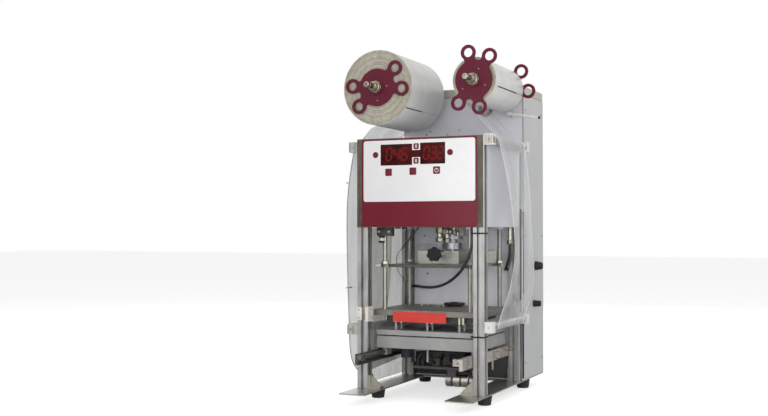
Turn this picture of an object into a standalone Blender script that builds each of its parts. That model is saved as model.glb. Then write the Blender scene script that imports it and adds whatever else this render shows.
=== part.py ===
"""Bench cup sealing machine: slotted-profile frame, film reels, press head and mould drawer.

Metres, +Z up. X = 0 is the machine's middle plane, Y = 0 runs through the front posts'
centres and Z = 0 is the bench top. The datum empty shifts all pieces so that the world
origin lies on the bench under the middle of the whole machine.
"""
import math

import bmesh
import bpy
from mathutils import Matrix, Vector

# Clearances
SEAT = 0.0003
RUNNING = 0.0003
PIN_CLEARANCE = 0.0015

# Frame
POST = 0.030
POST_X = 0.1643
REEL_SPACE = 0.0384
POST_TOP = 0.700
SLOT_HALF = 0.0041
SLOT_LIP = 0.0022
SLOT_INNER_HALF = 0.00825
SLOT_SHOULDER = 0.0040
SLOT_FLOOR_HALF = 0.0040
SLOT_DEPTH = 0.0085
POST_BORE = 0.0034
FOOT_HEIGHT = 0.031
FOOT_TOP_RADIUS = 0.020
FOOT_BOTTOM_RADIUS = 0.017
FOOT_INSET = 0.0304
FOOT_FRONT_Y = 0.0623
FOOT_REAR_Y = 0.399
BASE_THICKNESS = 0.003
BASE_MARGIN = 0.001
BASE_CUT_HALF = 0.110
BASE_FRONT = -0.118
BASE_CUT_REAR = 0.285
ANGLE_HEIGHT = 0.036
ANGLE_REACH = 0.034
ANGLE_WIDTH = 0.022
ANGLE_THICKNESS = 0.005
GUSSET_THICKNESS = 0.003
GUSSET_TIP = 0.008

# Housing with the control panel
PANEL_HALF_WIDTH = 0.1783
PANEL_BOTTOM = 0.4647
PANEL_TOP = 0.7010
PANEL_DEPTH = 0.0038
PANEL_SHEET = 0.0015
OVERLAY_HALF_WIDTH = 0.1640
OVERLAY_BOTTOM = 0.4665
OVERLAY_TOP = 0.6990
OVERLAY_THICKNESS = 0.0004
OVERLAY_CORNER = 0.006
COVER_SHEET = 0.0015
FLOOR_BOTTOM = 0.4655
FLOOR_THICKNESS = 0.003
COVER_FLANGE = 0.012
BUSH_WALL = 0.005

# Cabinet
CABINET_HALF_WIDTH = 0.183
CABINET_DEPTH = 0.200
CABINET_TOP = 0.868
CABINET_CAP = 0.026
CABINET_SHEET = 0.0020
CABINET_GAP = 0.0003
BOSS_RADIUS = 0.022
BOSS_LENGTH = 0.036
KNOB_FOOT = 0.006

# Side knobs: centre Y, centre Z, length, foot radius and tip radius
KNOB_UPPER = (0.430, 0.353, 0.021, 0.0130, 0.0095)
KNOB_LOWER = (0.411, 0.244, 0.021, 0.0095, 0.0080)

# Film guard rod: X and Z of its root and of its tip, and how far it stands off the cabinet
GUARD_ROOT = (0.150, 0.7866)
GUARD_TIP = (0.2405, 0.7700)
GUARD_REACH = 0.027
GUARD_RADIUS = 0.004
GUARD_STEM_RADIUS = 0.0055

# Film and reels
FILM_WIDTH = 0.225
FILM_THICKNESS = 0.0005
FILM_BULGE = 0.24872
ROLL_FRONT = 0.022
ROLL_WIDTH = 0.236
CORE_RADIUS = 0.038
SUPPLY_X = -0.137
SUPPLY_Z = 0.844
SUPPLY_RADIUS = 0.102
TAKEUP_X = 0.141
TAKEUP_Z = 0.849
TAKEUP_RADIUS = 0.0603
HUB_PLATE = 0.006
HUB_PLUG = 0.018
HUB_DISC_RADIUS = 0.051
HUB_EAR_REACH = 0.073
HUB_EAR_RADIUS = 0.0208
HUB_EAR_HOLE = 0.0120
HUB_NECK_HALF = 0.0130
HUB_PAIR_HALF_ANGLE = math.radians(24.0)
SHAFT_RADIUS = 0.0080
SHAFT_FRONT = -0.050
NUT_RADIUS = 0.0165
NUT_LENGTH = 0.012
COLLAR_RADIUS = 0.012
COLLAR_LENGTH = 0.016

# Guide rollers: centre X, centre Z and radius
ROLLER_UPPER_LEFT = (-0.196, 0.681, 0.011)
ROLLER_UPPER_RIGHT = (0.193, 0.690, 0.011)
ROLLER_LOWER_LEFT = (-0.201, 0.190, 0.0145)
ROLLER_LOWER_RIGHT = (0.191, 0.209, 0.010)
ROLLER_PIN_RADIUS = 0.004
BRACKET_DEPTH = 0.024
BRACKET_HALF_HEIGHT = 0.014

# Mould drawer
RAIL_INNER = 0.1395
RAIL_OUTER = 0.1490
RAIL_BOTTOM = 0.105
RAIL_TOP = 0.1343
RAIL_OVERRUN = 0.001
RAIL_REAR = 0.293
RAIL_GROOVE_DEPTH = 0.004
RAIL_GROOVE_HALF = 0.009
ROD_X = 0.132
ROD_Z = 0.127
ROD_RADIUS = 0.006
ROD_FRONT = -0.099
LUG_LENGTH = 0.010
MOULD_HALF_WIDTH = 0.143
MOULD_FRONT = 0.030
MOULD_REAR = 0.272
MOULD_BOTTOM = 0.1395
MOULD_SPLIT = 0.172
MOULD_SPACER = 0.0022
MOULD_TOP_THICKNESS = 0.014
CUP_RADIUS = 0.0475
CUP_X = 0.068
CUP_Y = 0.172
CUP_RIM_RADIUS = 0.0525
CUP_RIM_DEPTH = 0.003
PIN_RADIUS = 0.0035
PIN_HEIGHT = 0.018
PIN_COLUMNS = (-0.0912, 0.0, 0.0912)
PIN_ROWS = (0.043, 0.080)
SADDLE_INNER = 0.1220
SADDLE_Y = (0.066, 0.240)
SADDLE_LENGTH = 0.030
SADDLE_WALL = 0.002
SPACER_X = 0.126
SPACER_RADIUS = 0.009
CLAMP_SCREW = (-0.0063, 0.060)
CLAMP_SCREW_RADIUS = 0.003
CLAMP_SCREW_LOW = 0.1035
MOULD_EDGE = 0.0008
DRAWER_TRAVEL = 0.120

# Press
HEAD_HALF_WIDTH = 0.153
HEAD_FRONT = 0.0325
HEAD_REAR = 0.2675
PRESS_LEFT = 0.0055
HEAD_TOP = 0.243
HEAD_PLATE = 0.016
HEATER_HALF_WIDTH = 0.1215
HEATER_INSET = 0.018
PAD_THICKNESS = 0.003
PRESS_STROKE = 0.015
COLUMN_RADIUS = 0.006
COLUMN_FRONT = (0.1225, 0.0400)
COLUMN_REAR = (0.1365, 0.2400)
COLUMN_TOP = 0.520
TIE_HALF_WIDTH = 0.121
TIE_FRONT = 0.048
TIE_REAR = 0.256
TIE_BOTTOM = 0.357
TIE_THICKNESS = 0.008
TIE_EDGE = 0.0008
WEB_X = (-0.073, 0.048)
REAR_WEB_X = (-0.110, 0.125)
REAR_WEB_Y = (0.250, 0.255)
WEB_Y = 0.153
WEB_THICKNESS = 0.008
WEB_HEIGHT = 0.036
WEB_BOSS_RADIUS = 0.010
WEB_BOSS_GAP = 0.016
STAR_Y = 0.092
STAR_Z = 0.3918
STAR_LOBES = 7
STAR_LOBE_REACH = 0.0152
STAR_LOBE_RADIUS = 0.0050
STAR_WAIST = 0.0172
STAR_THICKNESS = 0.014
STAR_STEM_RADIUS = 0.005
PRESS_Y = 0.230
PRESS_CYLINDER_RADIUS = 0.030
PRESS_CYLINDER_BOTTOM = 0.422
PRESS_ROD_RADIUS = 0.007
PRESS_GLAND_HEIGHT = 0.010
PRESS_INLET_Z = 0.446
PRESS_INLET_REACH = 0.014
PRESS_INLET_RADIUS = 0.006
STRIP_X = (-0.095, 0.058)
STRIP_Z = (0.2110, 0.2385)
STRIP_THICKNESS = 0.0015

# Drive under the mould
PLATFORM_X = (-0.058, 0.070)
PLATFORM_FRONT = 0.084
PLATFORM_TOP = 0.090
PLATFORM_THICKNESS = 0.008
DRIVE_Y = 0.100
DRIVE_Z = 0.0535
DRIVE_RADIUS = 0.017
DRIVE_X = (0.034, 0.124)
DRIVE_BAND_STARTS = (0.048, 0.020)
DRIVE_BAND_WIDTH = 0.004
DRIVE_BAND_DEPTH = 0.0015
DRIVE_EDGE = 0.002
DRIVE_SADDLE_X = (0.040, 0.064)
DRIVE_SADDLE_HALF = 0.014
BUMPER_CENTRE = (-0.083, 0.095)
BUMPER_RADIUS = 0.015
BUMPER_HEIGHT = 0.030

# Hoses: radius and the places each one runs through, all but its ends at posts and floor
HOSE_RADIUS = 0.004
HOSE_FRONT_ROUTE = [
    (-0.1380, 0.2875, 0.2933), (-0.1270, 0.2812, 0.2930), (-0.1137, 0.2687, 0.2927),
    (-0.0988, 0.2542, 0.2928), (-0.0689, 0.2253, 0.2940), (-0.0403, 0.1954, 0.2971),
    (-0.0131, 0.1644, 0.3020), (0.0128, 0.1326, 0.3087), (0.0382, 0.1007, 0.3169),
    (0.0630, 0.0691, 0.3273), (0.0880, 0.0386, 0.3405), (0.1016, 0.0274, 0.3512),
    (0.1142, 0.0212, 0.3664), (0.1247, 0.0177, 0.3839), (0.1317, 0.0176, 0.4034),
    (0.1348, 0.0196, 0.4239), (0.1340, 0.0225, 0.4445)]
HOSE_RIGHT_ROUTE = [
    (0.1590, 0.2640, 0.4300), (0.1580, 0.2660, 0.3900), (0.1470, 0.2720, 0.3560),
    (0.1380, 0.2860, 0.3465), (0.1370, 0.2980, 0.3460)]

# Film lines below the upper rollers, as X and Z: the near (front) edge and the far edge
SUPPLY_NEAR = [(-0.2145, 0.660), (-0.2275, 0.581), (-0.2332, 0.505), (-0.2332, 0.400),
               (-0.2310, 0.290), (-0.2260, 0.175), (-0.2225, 0.125), (-0.2130, 0.092),
               (-0.1965, 0.073), (-0.1800, 0.070), (-0.1650, 0.086), (-0.1600, 0.120),
               (-0.1600, 0.165), (-0.1585, 0.190), (-0.1540, 0.2005)]
SUPPLY_FAR = [(-0.2072, 0.650), (-0.2020, 0.581), (-0.1985, 0.505), (-0.1985, 0.400),
              (-0.2050, 0.290), (-0.2168, 0.190), (-0.2120, 0.140), (-0.2030, 0.108),
              (-0.1900, 0.090), (-0.1775, 0.084), (-0.1650, 0.096), (-0.1600, 0.120),
              (-0.1600, 0.165), (-0.1585, 0.190), (-0.1540, 0.2005)]
TAKEUP_NEAR = [(0.2125, 0.664), (0.2290, 0.588), (0.2395, 0.515), (0.2470, 0.440), (0.2480, 0.390),
               (0.2400, 0.330), (0.2290, 0.286), (0.2150, 0.250), (0.2070, 0.228)]
TAKEUP_FAR = [(0.2095, 0.664), (0.2180, 0.588), (0.2235, 0.515), (0.2270, 0.440), (0.2300, 0.390),
              (0.2320, 0.330), (0.2270, 0.286), (0.2160, 0.250), (0.2080, 0.228)]
TAKEUP_TAIL = [(0.1720, 0.1985), (0.1540, 0.1990)]
WINDOW_Y = 0.1295
WINDOW_Z = 0.389
WINDOW_HALF_WIDTH = 0.050
WINDOW_HALF_HEIGHT = 0.124

# Derived places
BASE_TOP = FOOT_HEIGHT + BASE_THICKNESS
POST_HALF = POST / 2
POST_PITCH_Y = ROLL_FRONT + ROLL_WIDTH + REEL_SPACE
BASE_HALF_WIDTH = CABINET_HALF_WIDTH + BASE_MARGIN
FOOT_X = BASE_HALF_WIDTH - FOOT_INSET
POST_OUTER = POST_X + POST_HALF
POST_INNER = POST_X - POST_HALF
FRONT_POST_FRONT = -POST_HALF
FRONT_POST_REAR = POST_HALF
REAR_POST_FRONT = POST_PITCH_Y - POST_HALF
REAR_POST_REAR = POST_PITCH_Y + POST_HALF
CABINET_FRONT = REAR_POST_REAR + CABINET_GAP
CABINET_REAR = CABINET_FRONT + CABINET_DEPTH
ROLL_REAR = ROLL_FRONT + ROLL_WIDTH
FILM_FRONT = ROLL_FRONT + (ROLL_WIDTH - FILM_WIDTH) / 2
MOULD_PLATE_BOTTOM = MOULD_SPLIT + MOULD_SPACER + SEAT
MOULD_PLATE_TOP = MOULD_PLATE_BOTTOM + MOULD_TOP_THICKNESS
RAIL_FRONT = MOULD_FRONT - DRAWER_TRAVEL - RAIL_OVERRUN
HEAD_BOTTOM = MOULD_PLATE_TOP + PRESS_LEFT + PRESS_STROKE + PAD_THICKNESS
TIE_TOP = TIE_BOTTOM + TIE_THICKNESS
COVER_HALF_WIDTH = POST_OUTER - 0.001
LEFT_REACH = SUPPLY_X - SUPPLY_RADIUS
DATUM_X = (LEFT_REACH + FILM_BULGE) / 2
DATUM_Y = (BASE_FRONT + CABINET_REAR) / 2


def clear_scene():
    for item in list(bpy.data.objects):
        bpy.data.objects.remove(item, do_unlink=True)


def linear(channel):
    if channel <= 0.04045:
        return channel / 12.92
    return ((channel + 0.055) / 1.055) ** 2.4


def make_material(name, hex_colour, roughness, metallic):
    material = bpy.data.materials.new(name)
    material.use_nodes = True
    shader = material.node_tree.nodes["Principled BSDF"]
    parts = [int(hex_colour[i:i + 2], 16) / 255.0 for i in (0, 2, 4)]
    shader.inputs["Base Color"].default_value = [linear(part) for part in parts] + [1.0]
    shader.inputs["Roughness"].default_value = roughness
    shader.inputs["Metallic"].default_value = metallic
    return material


clear_scene()
PARTS = bpy.data.collections.new("cup_sealing_machine")
CUTTERS = bpy.data.collections.new("cutters")
bpy.context.scene.collection.children.link(PARTS)
bpy.context.scene.collection.children.link(CUTTERS)
DATUM = bpy.data.objects.new("machine_datum", None)
DATUM.location = (-DATUM_X, -DATUM_Y, 0.0)
PARTS.objects.link(DATUM)

ALUMINIUM = make_material("anodised_aluminium", "B4B4B0", 0.38, 1.0)
CAST = make_material("milled_aluminium", "9A9A98", 0.45, 1.0)
STAINLESS = make_material("stainless_sheet", "85827A", 0.35, 1.0)
DARK_STEEL = make_material("dark_steel", "66655E", 0.5, 0.6)
PANEL_STEEL = make_material("panel_steel", "4D463A", 0.45, 0.5)
CHROME = make_material("polished_steel", "C8C4B8", 0.15, 1.0)
LILAC_PAINT = make_material("pale_grey_paint", "A9A9AE", 0.5, 0.0)
GREY_PAINT = make_material("cabinet_grey_paint", "B2B3B3", 0.5, 0.0)
BEIGE_PAINT = make_material("beige_paint", "ABA597", 0.5, 0.0)
BURGUNDY = make_material("burgundy_plastic", "651C2E", 0.4, 0.0)
OVERLAY_PLASTIC = make_material("overlay_plastic", "702030", 0.35, 0.0)
RUBBER = make_material("black_rubber", "2D3033", 0.8, 0.0)
BLACK_PLASTIC = make_material("black_plastic", "26272A", 0.45, 0.0)
WHITE_PLASTIC = make_material("white_plastic", "C9C8C2", 0.5, 0.0)
ROLL_FILM = make_material("wound_film", "C2C2BE", 0.35, 0.0)
CLEAR_FILM = make_material("clear_film", "CDCDD2", 0.2, 0.0)
RED_STRIP = make_material("red_strip", "C8403C", 0.5, 0.0)


def place(obj, material):
    """Puts a finished object in the parts collection, under the machine's datum."""
    for collection in list(obj.users_collection):
        collection.objects.unlink(obj)
    PARTS.objects.link(obj)
    obj.parent = DATUM
    obj.data.materials.clear()
    obj.data.materials.append(material)
    return obj


def as_cutter(obj):
    for collection in list(obj.users_collection):
        collection.objects.unlink(obj)
    CUTTERS.objects.link(obj)
    obj.parent = DATUM
    obj.hide_render = True
    obj.display_type = "WIRE"
    return obj


def combine(target, tool, operation):
    as_cutter(tool)
    modifier = target.modifiers.new(operation.lower() + "_" + tool.name, "BOOLEAN")
    modifier.operation = operation
    modifier.solver = "EXACT"
    modifier.object = tool
    return target


def cut(target, *tools):
    for tool in tools:
        combine(target, tool, "DIFFERENCE")
    return target


def join(target, *tools):
    for tool in tools:
        combine(target, tool, "UNION")
    return target


def bevel(obj, width, segments=1, angle=math.radians(40)):
    modifier = obj.modifiers.new("edge", "BEVEL")
    modifier.width = width
    modifier.segments = segments
    modifier.limit_method = "ANGLE"
    modifier.angle_limit = angle
    return obj


def block(name, low, high, rounding=0.0, segments=1):
    """A box between two corners, with its origin at its middle."""
    low = Vector(low)
    high = Vector(high)
    bpy.ops.mesh.primitive_cube_add(size=1.0, location=(low + high) / 2)
    obj = bpy.context.object
    obj.name = name
    obj.data.name = name
    obj.data.transform(Matrix.Diagonal((*(high - low), 1.0)))
    if rounding:
        bevel(obj, rounding, segments)
    return obj


def rod(name, radius, start, end, vertices=24, rounding=0.0):
    """A cylinder between two points, with its origin at its middle."""
    start = Vector(start)
    end = Vector(end)
    bpy.ops.mesh.primitive_cylinder_add(
        vertices=vertices, radius=radius, depth=(end - start).length, location=(start + end) / 2)
    obj = bpy.context.object
    obj.name = name
    obj.data.name = name
    turn = Vector((0.0, 0.0, 1.0)).rotation_difference(end - start)
    obj.rotation_euler = turn.to_euler()
    if rounding:
        bevel(obj, rounding, 2)
    obj.data.shade_smooth()
    obj.data.set_sharp_from_angle(angle=math.radians(35))
    return obj


def turned(name, profile, location, rotation=(0.0, 0.0, 0.0), steps=32, closed=False):
    """Turns a profile of (radius, height) points, listed from top to bottom, round local Z."""
    mesh = bpy.data.meshes.new(name)
    shape = bmesh.new()
    points = [shape.verts.new((radius, 0.0, height)) for radius, height in profile]
    for first, second in zip(points, points[1:]):
        shape.edges.new((first, second))
    if closed:
        shape.edges.new((points[-1], points[0]))
    shape.to_mesh(mesh)
    shape.free()
    obj = bpy.data.objects.new(name, mesh)
    bpy.context.scene.collection.objects.link(obj)
    obj.location = location
    obj.rotation_euler = rotation
    screw = obj.modifiers.new("turn", "SCREW")
    screw.axis = "Z"
    screw.steps = steps
    screw.render_steps = steps
    screw.use_merge_vertices = True
    screw.merge_threshold = 0.00005
    screw.use_smooth_shade = True
    return obj


def arc(centre, radius, start, end, count):
    """Points on an arc from one angle to another, both ends included."""
    step = (end - start) / (count - 1)
    return [(centre[0] + radius * math.cos(start + step * i),
             centre[1] + radius * math.sin(start + step * i)) for i in range(count)]


def circle(centre, radius, count):
    return arc(centre, radius, 0.0, 2 * math.pi * (count - 1) / count, count)


def rounded(corners, radius, count=5):
    """The outline through the given corners with each one rounded."""
    points = []
    total = len(corners)
    for index, corner in enumerate(corners):
        here = Vector(corner)
        back = (Vector(corners[index - 1]) - here).normalized()
        ahead = (Vector(corners[(index + 1) % total]) - here).normalized()
        half = back.angle(ahead) / 2
        middle = here + (back + ahead).normalized() * (radius / math.sin(half))
        first = here + back * (radius / math.tan(half)) - middle
        second = here + ahead * (radius / math.tan(half)) - middle
        start = math.atan2(first.y, first.x)
        sweep = math.atan2(first.x * second.y - first.y * second.x, first.dot(second))
        points += arc(middle, radius, start, start + sweep, count)
    return points


def plate(name, loops, thickness, location, rotation=(0.0, 0.0, 0.0)):
    """A flat outline with holes, filled and given a thickness; made a mesh for later cuts."""
    curve = bpy.data.curves.new(name + "_outline", "CURVE")
    curve.dimensions = "2D"
    curve.fill_mode = "BOTH"
    curve.extrude = thickness / 2
    for loop in loops:
        spline = curve.splines.new("POLY")
        spline.points.add(len(loop) - 1)
        for point, (x, y) in zip(spline.points, loop):
            point.co = (x, y, 0.0, 1.0)
        spline.use_cyclic_u = True
    outline = bpy.data.objects.new(name + "_outline", curve)
    bpy.context.scene.collection.objects.link(outline)
    outline.location = location
    outline.rotation_euler = rotation
    bpy.context.view_layer.update()
    evaluated = outline.evaluated_get(bpy.context.evaluated_depsgraph_get())
    mesh = bpy.data.meshes.new_from_object(evaluated)
    mesh.name = name
    shape = bmesh.new()
    shape.from_mesh(mesh)
    bmesh.ops.remove_doubles(shape, verts=shape.verts, dist=0.00002)
    bmesh.ops.recalc_face_normals(shape, faces=shape.faces)
    shape.to_mesh(mesh)
    shape.free()
    obj = bpy.data.objects.new(name, mesh)
    obj.matrix_world = outline.matrix_world
    bpy.context.scene.collection.objects.link(obj)
    bpy.data.objects.remove(outline, do_unlink=True)
    return obj


def columns():
    """Each guide column's name with its X and Y."""
    for side, label in ((-1, "left"), (1, "right")):
        for spot, (x, y) in (("front", COLUMN_FRONT), ("rear", COLUMN_REAR)):
            yield spot + "_" + label, side * x, y


UPRIGHT = (math.pi / 2, 0.0, 0.0)
ALONG_Y = (-math.pi / 2, 0.0, 0.0)


def smooth_path(points, count):
    """Catmull-Rom points through the given ones, evenly numbered along each stretch."""
    chain = [Vector(point) for point in points]
    chain = [chain[0] * 2 - chain[1]] + chain + [chain[-1] * 2 - chain[-2]]
    path = []
    for index in range(1, len(chain) - 2):
        before, start, end, after = chain[index - 1:index + 3]
        for step in range(count):
            t = step / count
            path.append(0.5 * (2 * start + (end - before) * t
                               + (2 * before - 5 * start + 4 * end - after) * t * t
                               + (3 * start - before - 3 * end + after) * t ** 3))
    path.append(chain[-2])
    return path


def hose(name, points, radius, count=4):
    curve = bpy.data.curves.new(name, "CURVE")
    curve.dimensions = "3D"
    curve.bevel_depth = radius
    curve.bevel_resolution = 2
    curve.use_fill_caps = True
    route = smooth_path(points, count)
    spline = curve.splines.new("POLY")
    spline.points.add(len(route) - 1)
    for point, place_at in zip(spline.points, route):
        point.co = (*place_at, 1.0)
    obj = bpy.data.objects.new(name, curve)
    bpy.context.scene.collection.objects.link(obj)
    return obj


def film_sheet(name, near_edge, far_edge):
    """A thin web lofted between its near and far edge lines, both given as (x, z) points."""
    mesh = bpy.data.meshes.new(name)
    shape = bmesh.new()
    rows = []
    columns = 3
    for near, far in zip(near_edge, far_edge):
        row = []
        for column in range(columns):
            share = column / (columns - 1)
            x = near[0] * (1 - share) + far[0] * share
            z = near[1] * (1 - share) + far[1] * share
            row.append(shape.verts.new((x, FILM_FRONT + FILM_WIDTH * share, z)))
        rows.append(row)
    for upper, lower in zip(rows, rows[1:]):
        for column in range(columns - 1):
            shape.faces.new((upper[column], upper[column + 1], lower[column + 1], lower[column]))
    shape.to_mesh(mesh)
    shape.free()
    obj = bpy.data.objects.new(name, mesh)
    bpy.context.scene.collection.objects.link(obj)
    skin = obj.modifiers.new("film", "SOLIDIFY")
    skin.thickness = FILM_THICKNESS
    skin.offset = 0.0
    obj.data.shade_smooth()
    return obj


# Base plate and feet
def angle_gusset(tag, upright, toe, inward):
    """The triangular web between a front angle's leg and its sole."""
    start = upright - inward * 0.0005
    corners = [(start, BASE_TOP), (toe, BASE_TOP), (toe, BASE_TOP + GUSSET_TIP),
               (start, BASE_TOP + ANGLE_HEIGHT)]
    return plate("angle_gusset_" + tag, [corners], GUSSET_THICKNESS, (0.0, 0.0, 0.0), UPRIGHT)


def build_base():
    outline = [
        (-BASE_HALF_WIDTH, BASE_FRONT), (-BASE_CUT_HALF, BASE_FRONT),
        (-BASE_CUT_HALF, BASE_CUT_REAR), (BASE_CUT_HALF, BASE_CUT_REAR),
        (BASE_CUT_HALF, BASE_FRONT), (BASE_HALF_WIDTH, BASE_FRONT),
        (BASE_HALF_WIDTH, CABINET_REAR), (-BASE_HALF_WIDTH, CABINET_REAR)]
    base = plate("base_plate", [rounded(outline, 0.006, 4)], BASE_THICKNESS,
                 (0.0, 0.0, BASE_TOP - BASE_THICKNESS / 2))
    for side in (-1, 1):
        for row, centre_y in enumerate((0.0, POST_PITCH_Y)):
            inner = side * (POST_INNER - SEAT)
            upright = inner - side * ANGLE_THICKNESS
            toe = inner - side * ANGLE_REACH
            tag = ("left" if side < 0 else "right") + ("_front" if row == 0 else "_rear")
            leg = block("angle_leg_" + tag,
                        (min(inner, upright), centre_y - ANGLE_WIDTH / 2, BASE_TOP - 0.001),
                        (max(inner, upright), centre_y + ANGLE_WIDTH / 2, BASE_TOP + ANGLE_HEIGHT))
            sole = block("angle_sole_" + tag,
                         (min(upright, toe) - 0.001, centre_y - ANGLE_WIDTH / 2, BASE_TOP - 0.001),
                         (max(upright, toe) + 0.001, centre_y + ANGLE_WIDTH / 2,
                          BASE_TOP + ANGLE_THICKNESS))
            if row == 0:
                join(base, leg, sole, angle_gusset(tag, upright, toe, -side))
            else:
                join(base, leg)
                bpy.data.objects.remove(sole, do_unlink=True)
    place(base, STAINLESS)


def build_feet():
    for side, label in ((-1, "left"), (1, "right")):
        for row, centre_y in (("front", FOOT_FRONT_Y), ("rear", FOOT_REAR_Y)):
            height = FOOT_HEIGHT - SEAT
            foot = turned("foot_" + row + "_" + label,
                          [(0.0, height), (FOOT_TOP_RADIUS, height), (FOOT_TOP_RADIUS, height - 0.008),
                           (FOOT_BOTTOM_RADIUS, 0.0015), (FOOT_BOTTOM_RADIUS - 0.0015, 0.0),
                           (0.0, 0.0)],
                          (side * FOOT_X, centre_y, 0.0), steps=20)
            place(foot, RUBBER)


# Slotted posts
def slot_profile():
    """Outline of the square profile: four corners with a T-slot in the middle of each side."""
    half = POST_HALF
    side = [
        (half - 0.0012, half), (SLOT_HALF, half), (SLOT_HALF, half - SLOT_LIP),
        (SLOT_INNER_HALF, half - SLOT_LIP), (SLOT_INNER_HALF, half - SLOT_SHOULDER),
        (SLOT_FLOOR_HALF, half - SLOT_DEPTH), (-SLOT_FLOOR_HALF, half - SLOT_DEPTH),
        (-SLOT_INNER_HALF, half - SLOT_SHOULDER), (-SLOT_INNER_HALF, half - SLOT_LIP),
        (-SLOT_HALF, half - SLOT_LIP), (-SLOT_HALF, half), (-half + 0.0012, half)]
    outline = []
    for quarter in range(4):
        turn = Matrix.Rotation(quarter * math.pi / 2, 2)
        outline += [tuple(turn @ Vector(point)) for point in side]
    return outline


def add_bracket(post, name, spec, centre_y):
    """A block on a post's outer face, bored for a guide roller's pin."""
    x, z, radius = spec
    side = 1 if x > 0 else -1
    inner = side * (POST_OUTER - 0.0005)
    outer = x + side * (ROLLER_PIN_RADIUS + 0.006)
    bracket = block(name, (min(inner, outer), centre_y - BRACKET_DEPTH / 2, z - BRACKET_HALF_HEIGHT),
                    (max(inner, outer), centre_y + BRACKET_DEPTH / 2, z + BRACKET_HALF_HEIGHT))
    bore = rod(name + "_bore", ROLLER_PIN_RADIUS + RUNNING, (x, centre_y - 0.05, z),
               (x, centre_y + 0.05, z), 12)
    join(post, bracket)
    cut(post, bore)


def build_posts():
    """Four posts, each with an upper and a lower roller bracket on its outer face."""
    bottom = BASE_TOP + SEAT
    guides = {"left": (ROLLER_UPPER_LEFT, ROLLER_LOWER_LEFT),
              "right": (ROLLER_UPPER_RIGHT, ROLLER_LOWER_RIGHT)}
    for side, label in ((-1, "left"), (1, "right")):
        for row, centre_y in (("front", 0.0), ("rear", POST_PITCH_Y)):
            tag = row + "_" + label
            post = plate("post_" + tag, [slot_profile(), circle((0, 0), POST_BORE, 10)],
                         POST_TOP - bottom, (side * POST_X, centre_y, (POST_TOP + bottom) / 2))
            for level, spec in zip(("upper", "lower"), guides[label]):
                add_bracket(post, "bracket_" + level + "_" + tag, spec, centre_y)
            place(post, ALUMINIUM)


# Housing
def build_housing():
    front = FRONT_POST_FRONT - SEAT - PANEL_DEPTH
    rear = FRONT_POST_FRONT - SEAT
    panel = block("control_panel_box", (-PANEL_HALF_WIDTH, front, PANEL_BOTTOM),
                  (PANEL_HALF_WIDTH, rear, PANEL_TOP), 0.0006)
    hollow = block("panel_hollow",
                   (-PANEL_HALF_WIDTH + PANEL_SHEET, front + PANEL_SHEET, PANEL_BOTTOM + PANEL_SHEET),
                   (PANEL_HALF_WIDTH - PANEL_SHEET, rear + 0.01, PANEL_TOP - PANEL_SHEET))
    place(cut(panel, hollow), PANEL_STEEL)

    height = OVERLAY_TOP - OVERLAY_BOTTOM
    corners = [(-OVERLAY_HALF_WIDTH, -height / 2), (OVERLAY_HALF_WIDTH, -height / 2),
               (OVERLAY_HALF_WIDTH, height / 2), (-OVERLAY_HALF_WIDTH, height / 2)]
    overlay = plate("panel_overlay", [rounded(corners, OVERLAY_CORNER, 6)], OVERLAY_THICKNESS,
                    (0.0, front - SEAT - OVERLAY_THICKNESS / 2, (OVERLAY_TOP + OVERLAY_BOTTOM) / 2),
                    UPRIGHT)
    place(overlay, OVERLAY_PLASTIC)

    outer = COVER_HALF_WIDTH
    top = POST_TOP + SEAT
    side_front = FRONT_POST_REAR + SEAT
    side_rear = REAR_POST_FRONT - SEAT
    cover = block("housing_cover", (-outer, FRONT_POST_FRONT, top),
                  (outer, REAR_POST_REAR, top + COVER_SHEET))
    for side, label in ((-1, "left"), (1, "right")):
        near = side * outer
        inner = side * (outer - COVER_SHEET)
        fold = side * (outer - COVER_FLANGE)
        skin = block("cover_skin_" + label, (min(near, inner), side_front, FLOOR_BOTTOM),
                     (max(near, inner), side_rear, top + COVER_SHEET / 2))
        join(cover, skin)
        for edge, low_y, high_y in (("front", side_front, side_front + COVER_SHEET),
                                    ("rear", side_rear - COVER_SHEET, side_rear)):
            lip = block("cover_lip_" + label + "_" + edge, (min(near, fold), low_y, FLOOR_BOTTOM),
                        (max(near, fold), high_y, top + COVER_SHEET / 2))
            join(cover, lip)
    place(cover, LILAC_PAINT)

    floor_x = COVER_HALF_WIDTH - COVER_SHEET - SEAT
    floor_top = FLOOR_BOTTOM + FLOOR_THICKNESS
    inset = side_front + COVER_SHEET + SEAT
    floor = block("housing_floor", (-floor_x, inset, FLOOR_BOTTOM),
                  (floor_x, side_rear - COVER_SHEET - SEAT, floor_top))
    for tag, x, y in columns():
        bush = rod("bush_" + tag, COLUMN_RADIUS + BUSH_WALL,
                   (x, y, FLOOR_BOTTOM - 0.006), (x, y, floor_top + 0.012), 16)
        join(floor, bush)
    for tag, x, y in columns():
        bore = rod("bush_bore_" + tag, COLUMN_RADIUS + RUNNING,
                   (x, y, FLOOR_BOTTOM - 0.02), (x, y, floor_top + 0.03), 16)
        cut(floor, bore)
    place(floor, LILAC_PAINT)


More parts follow.
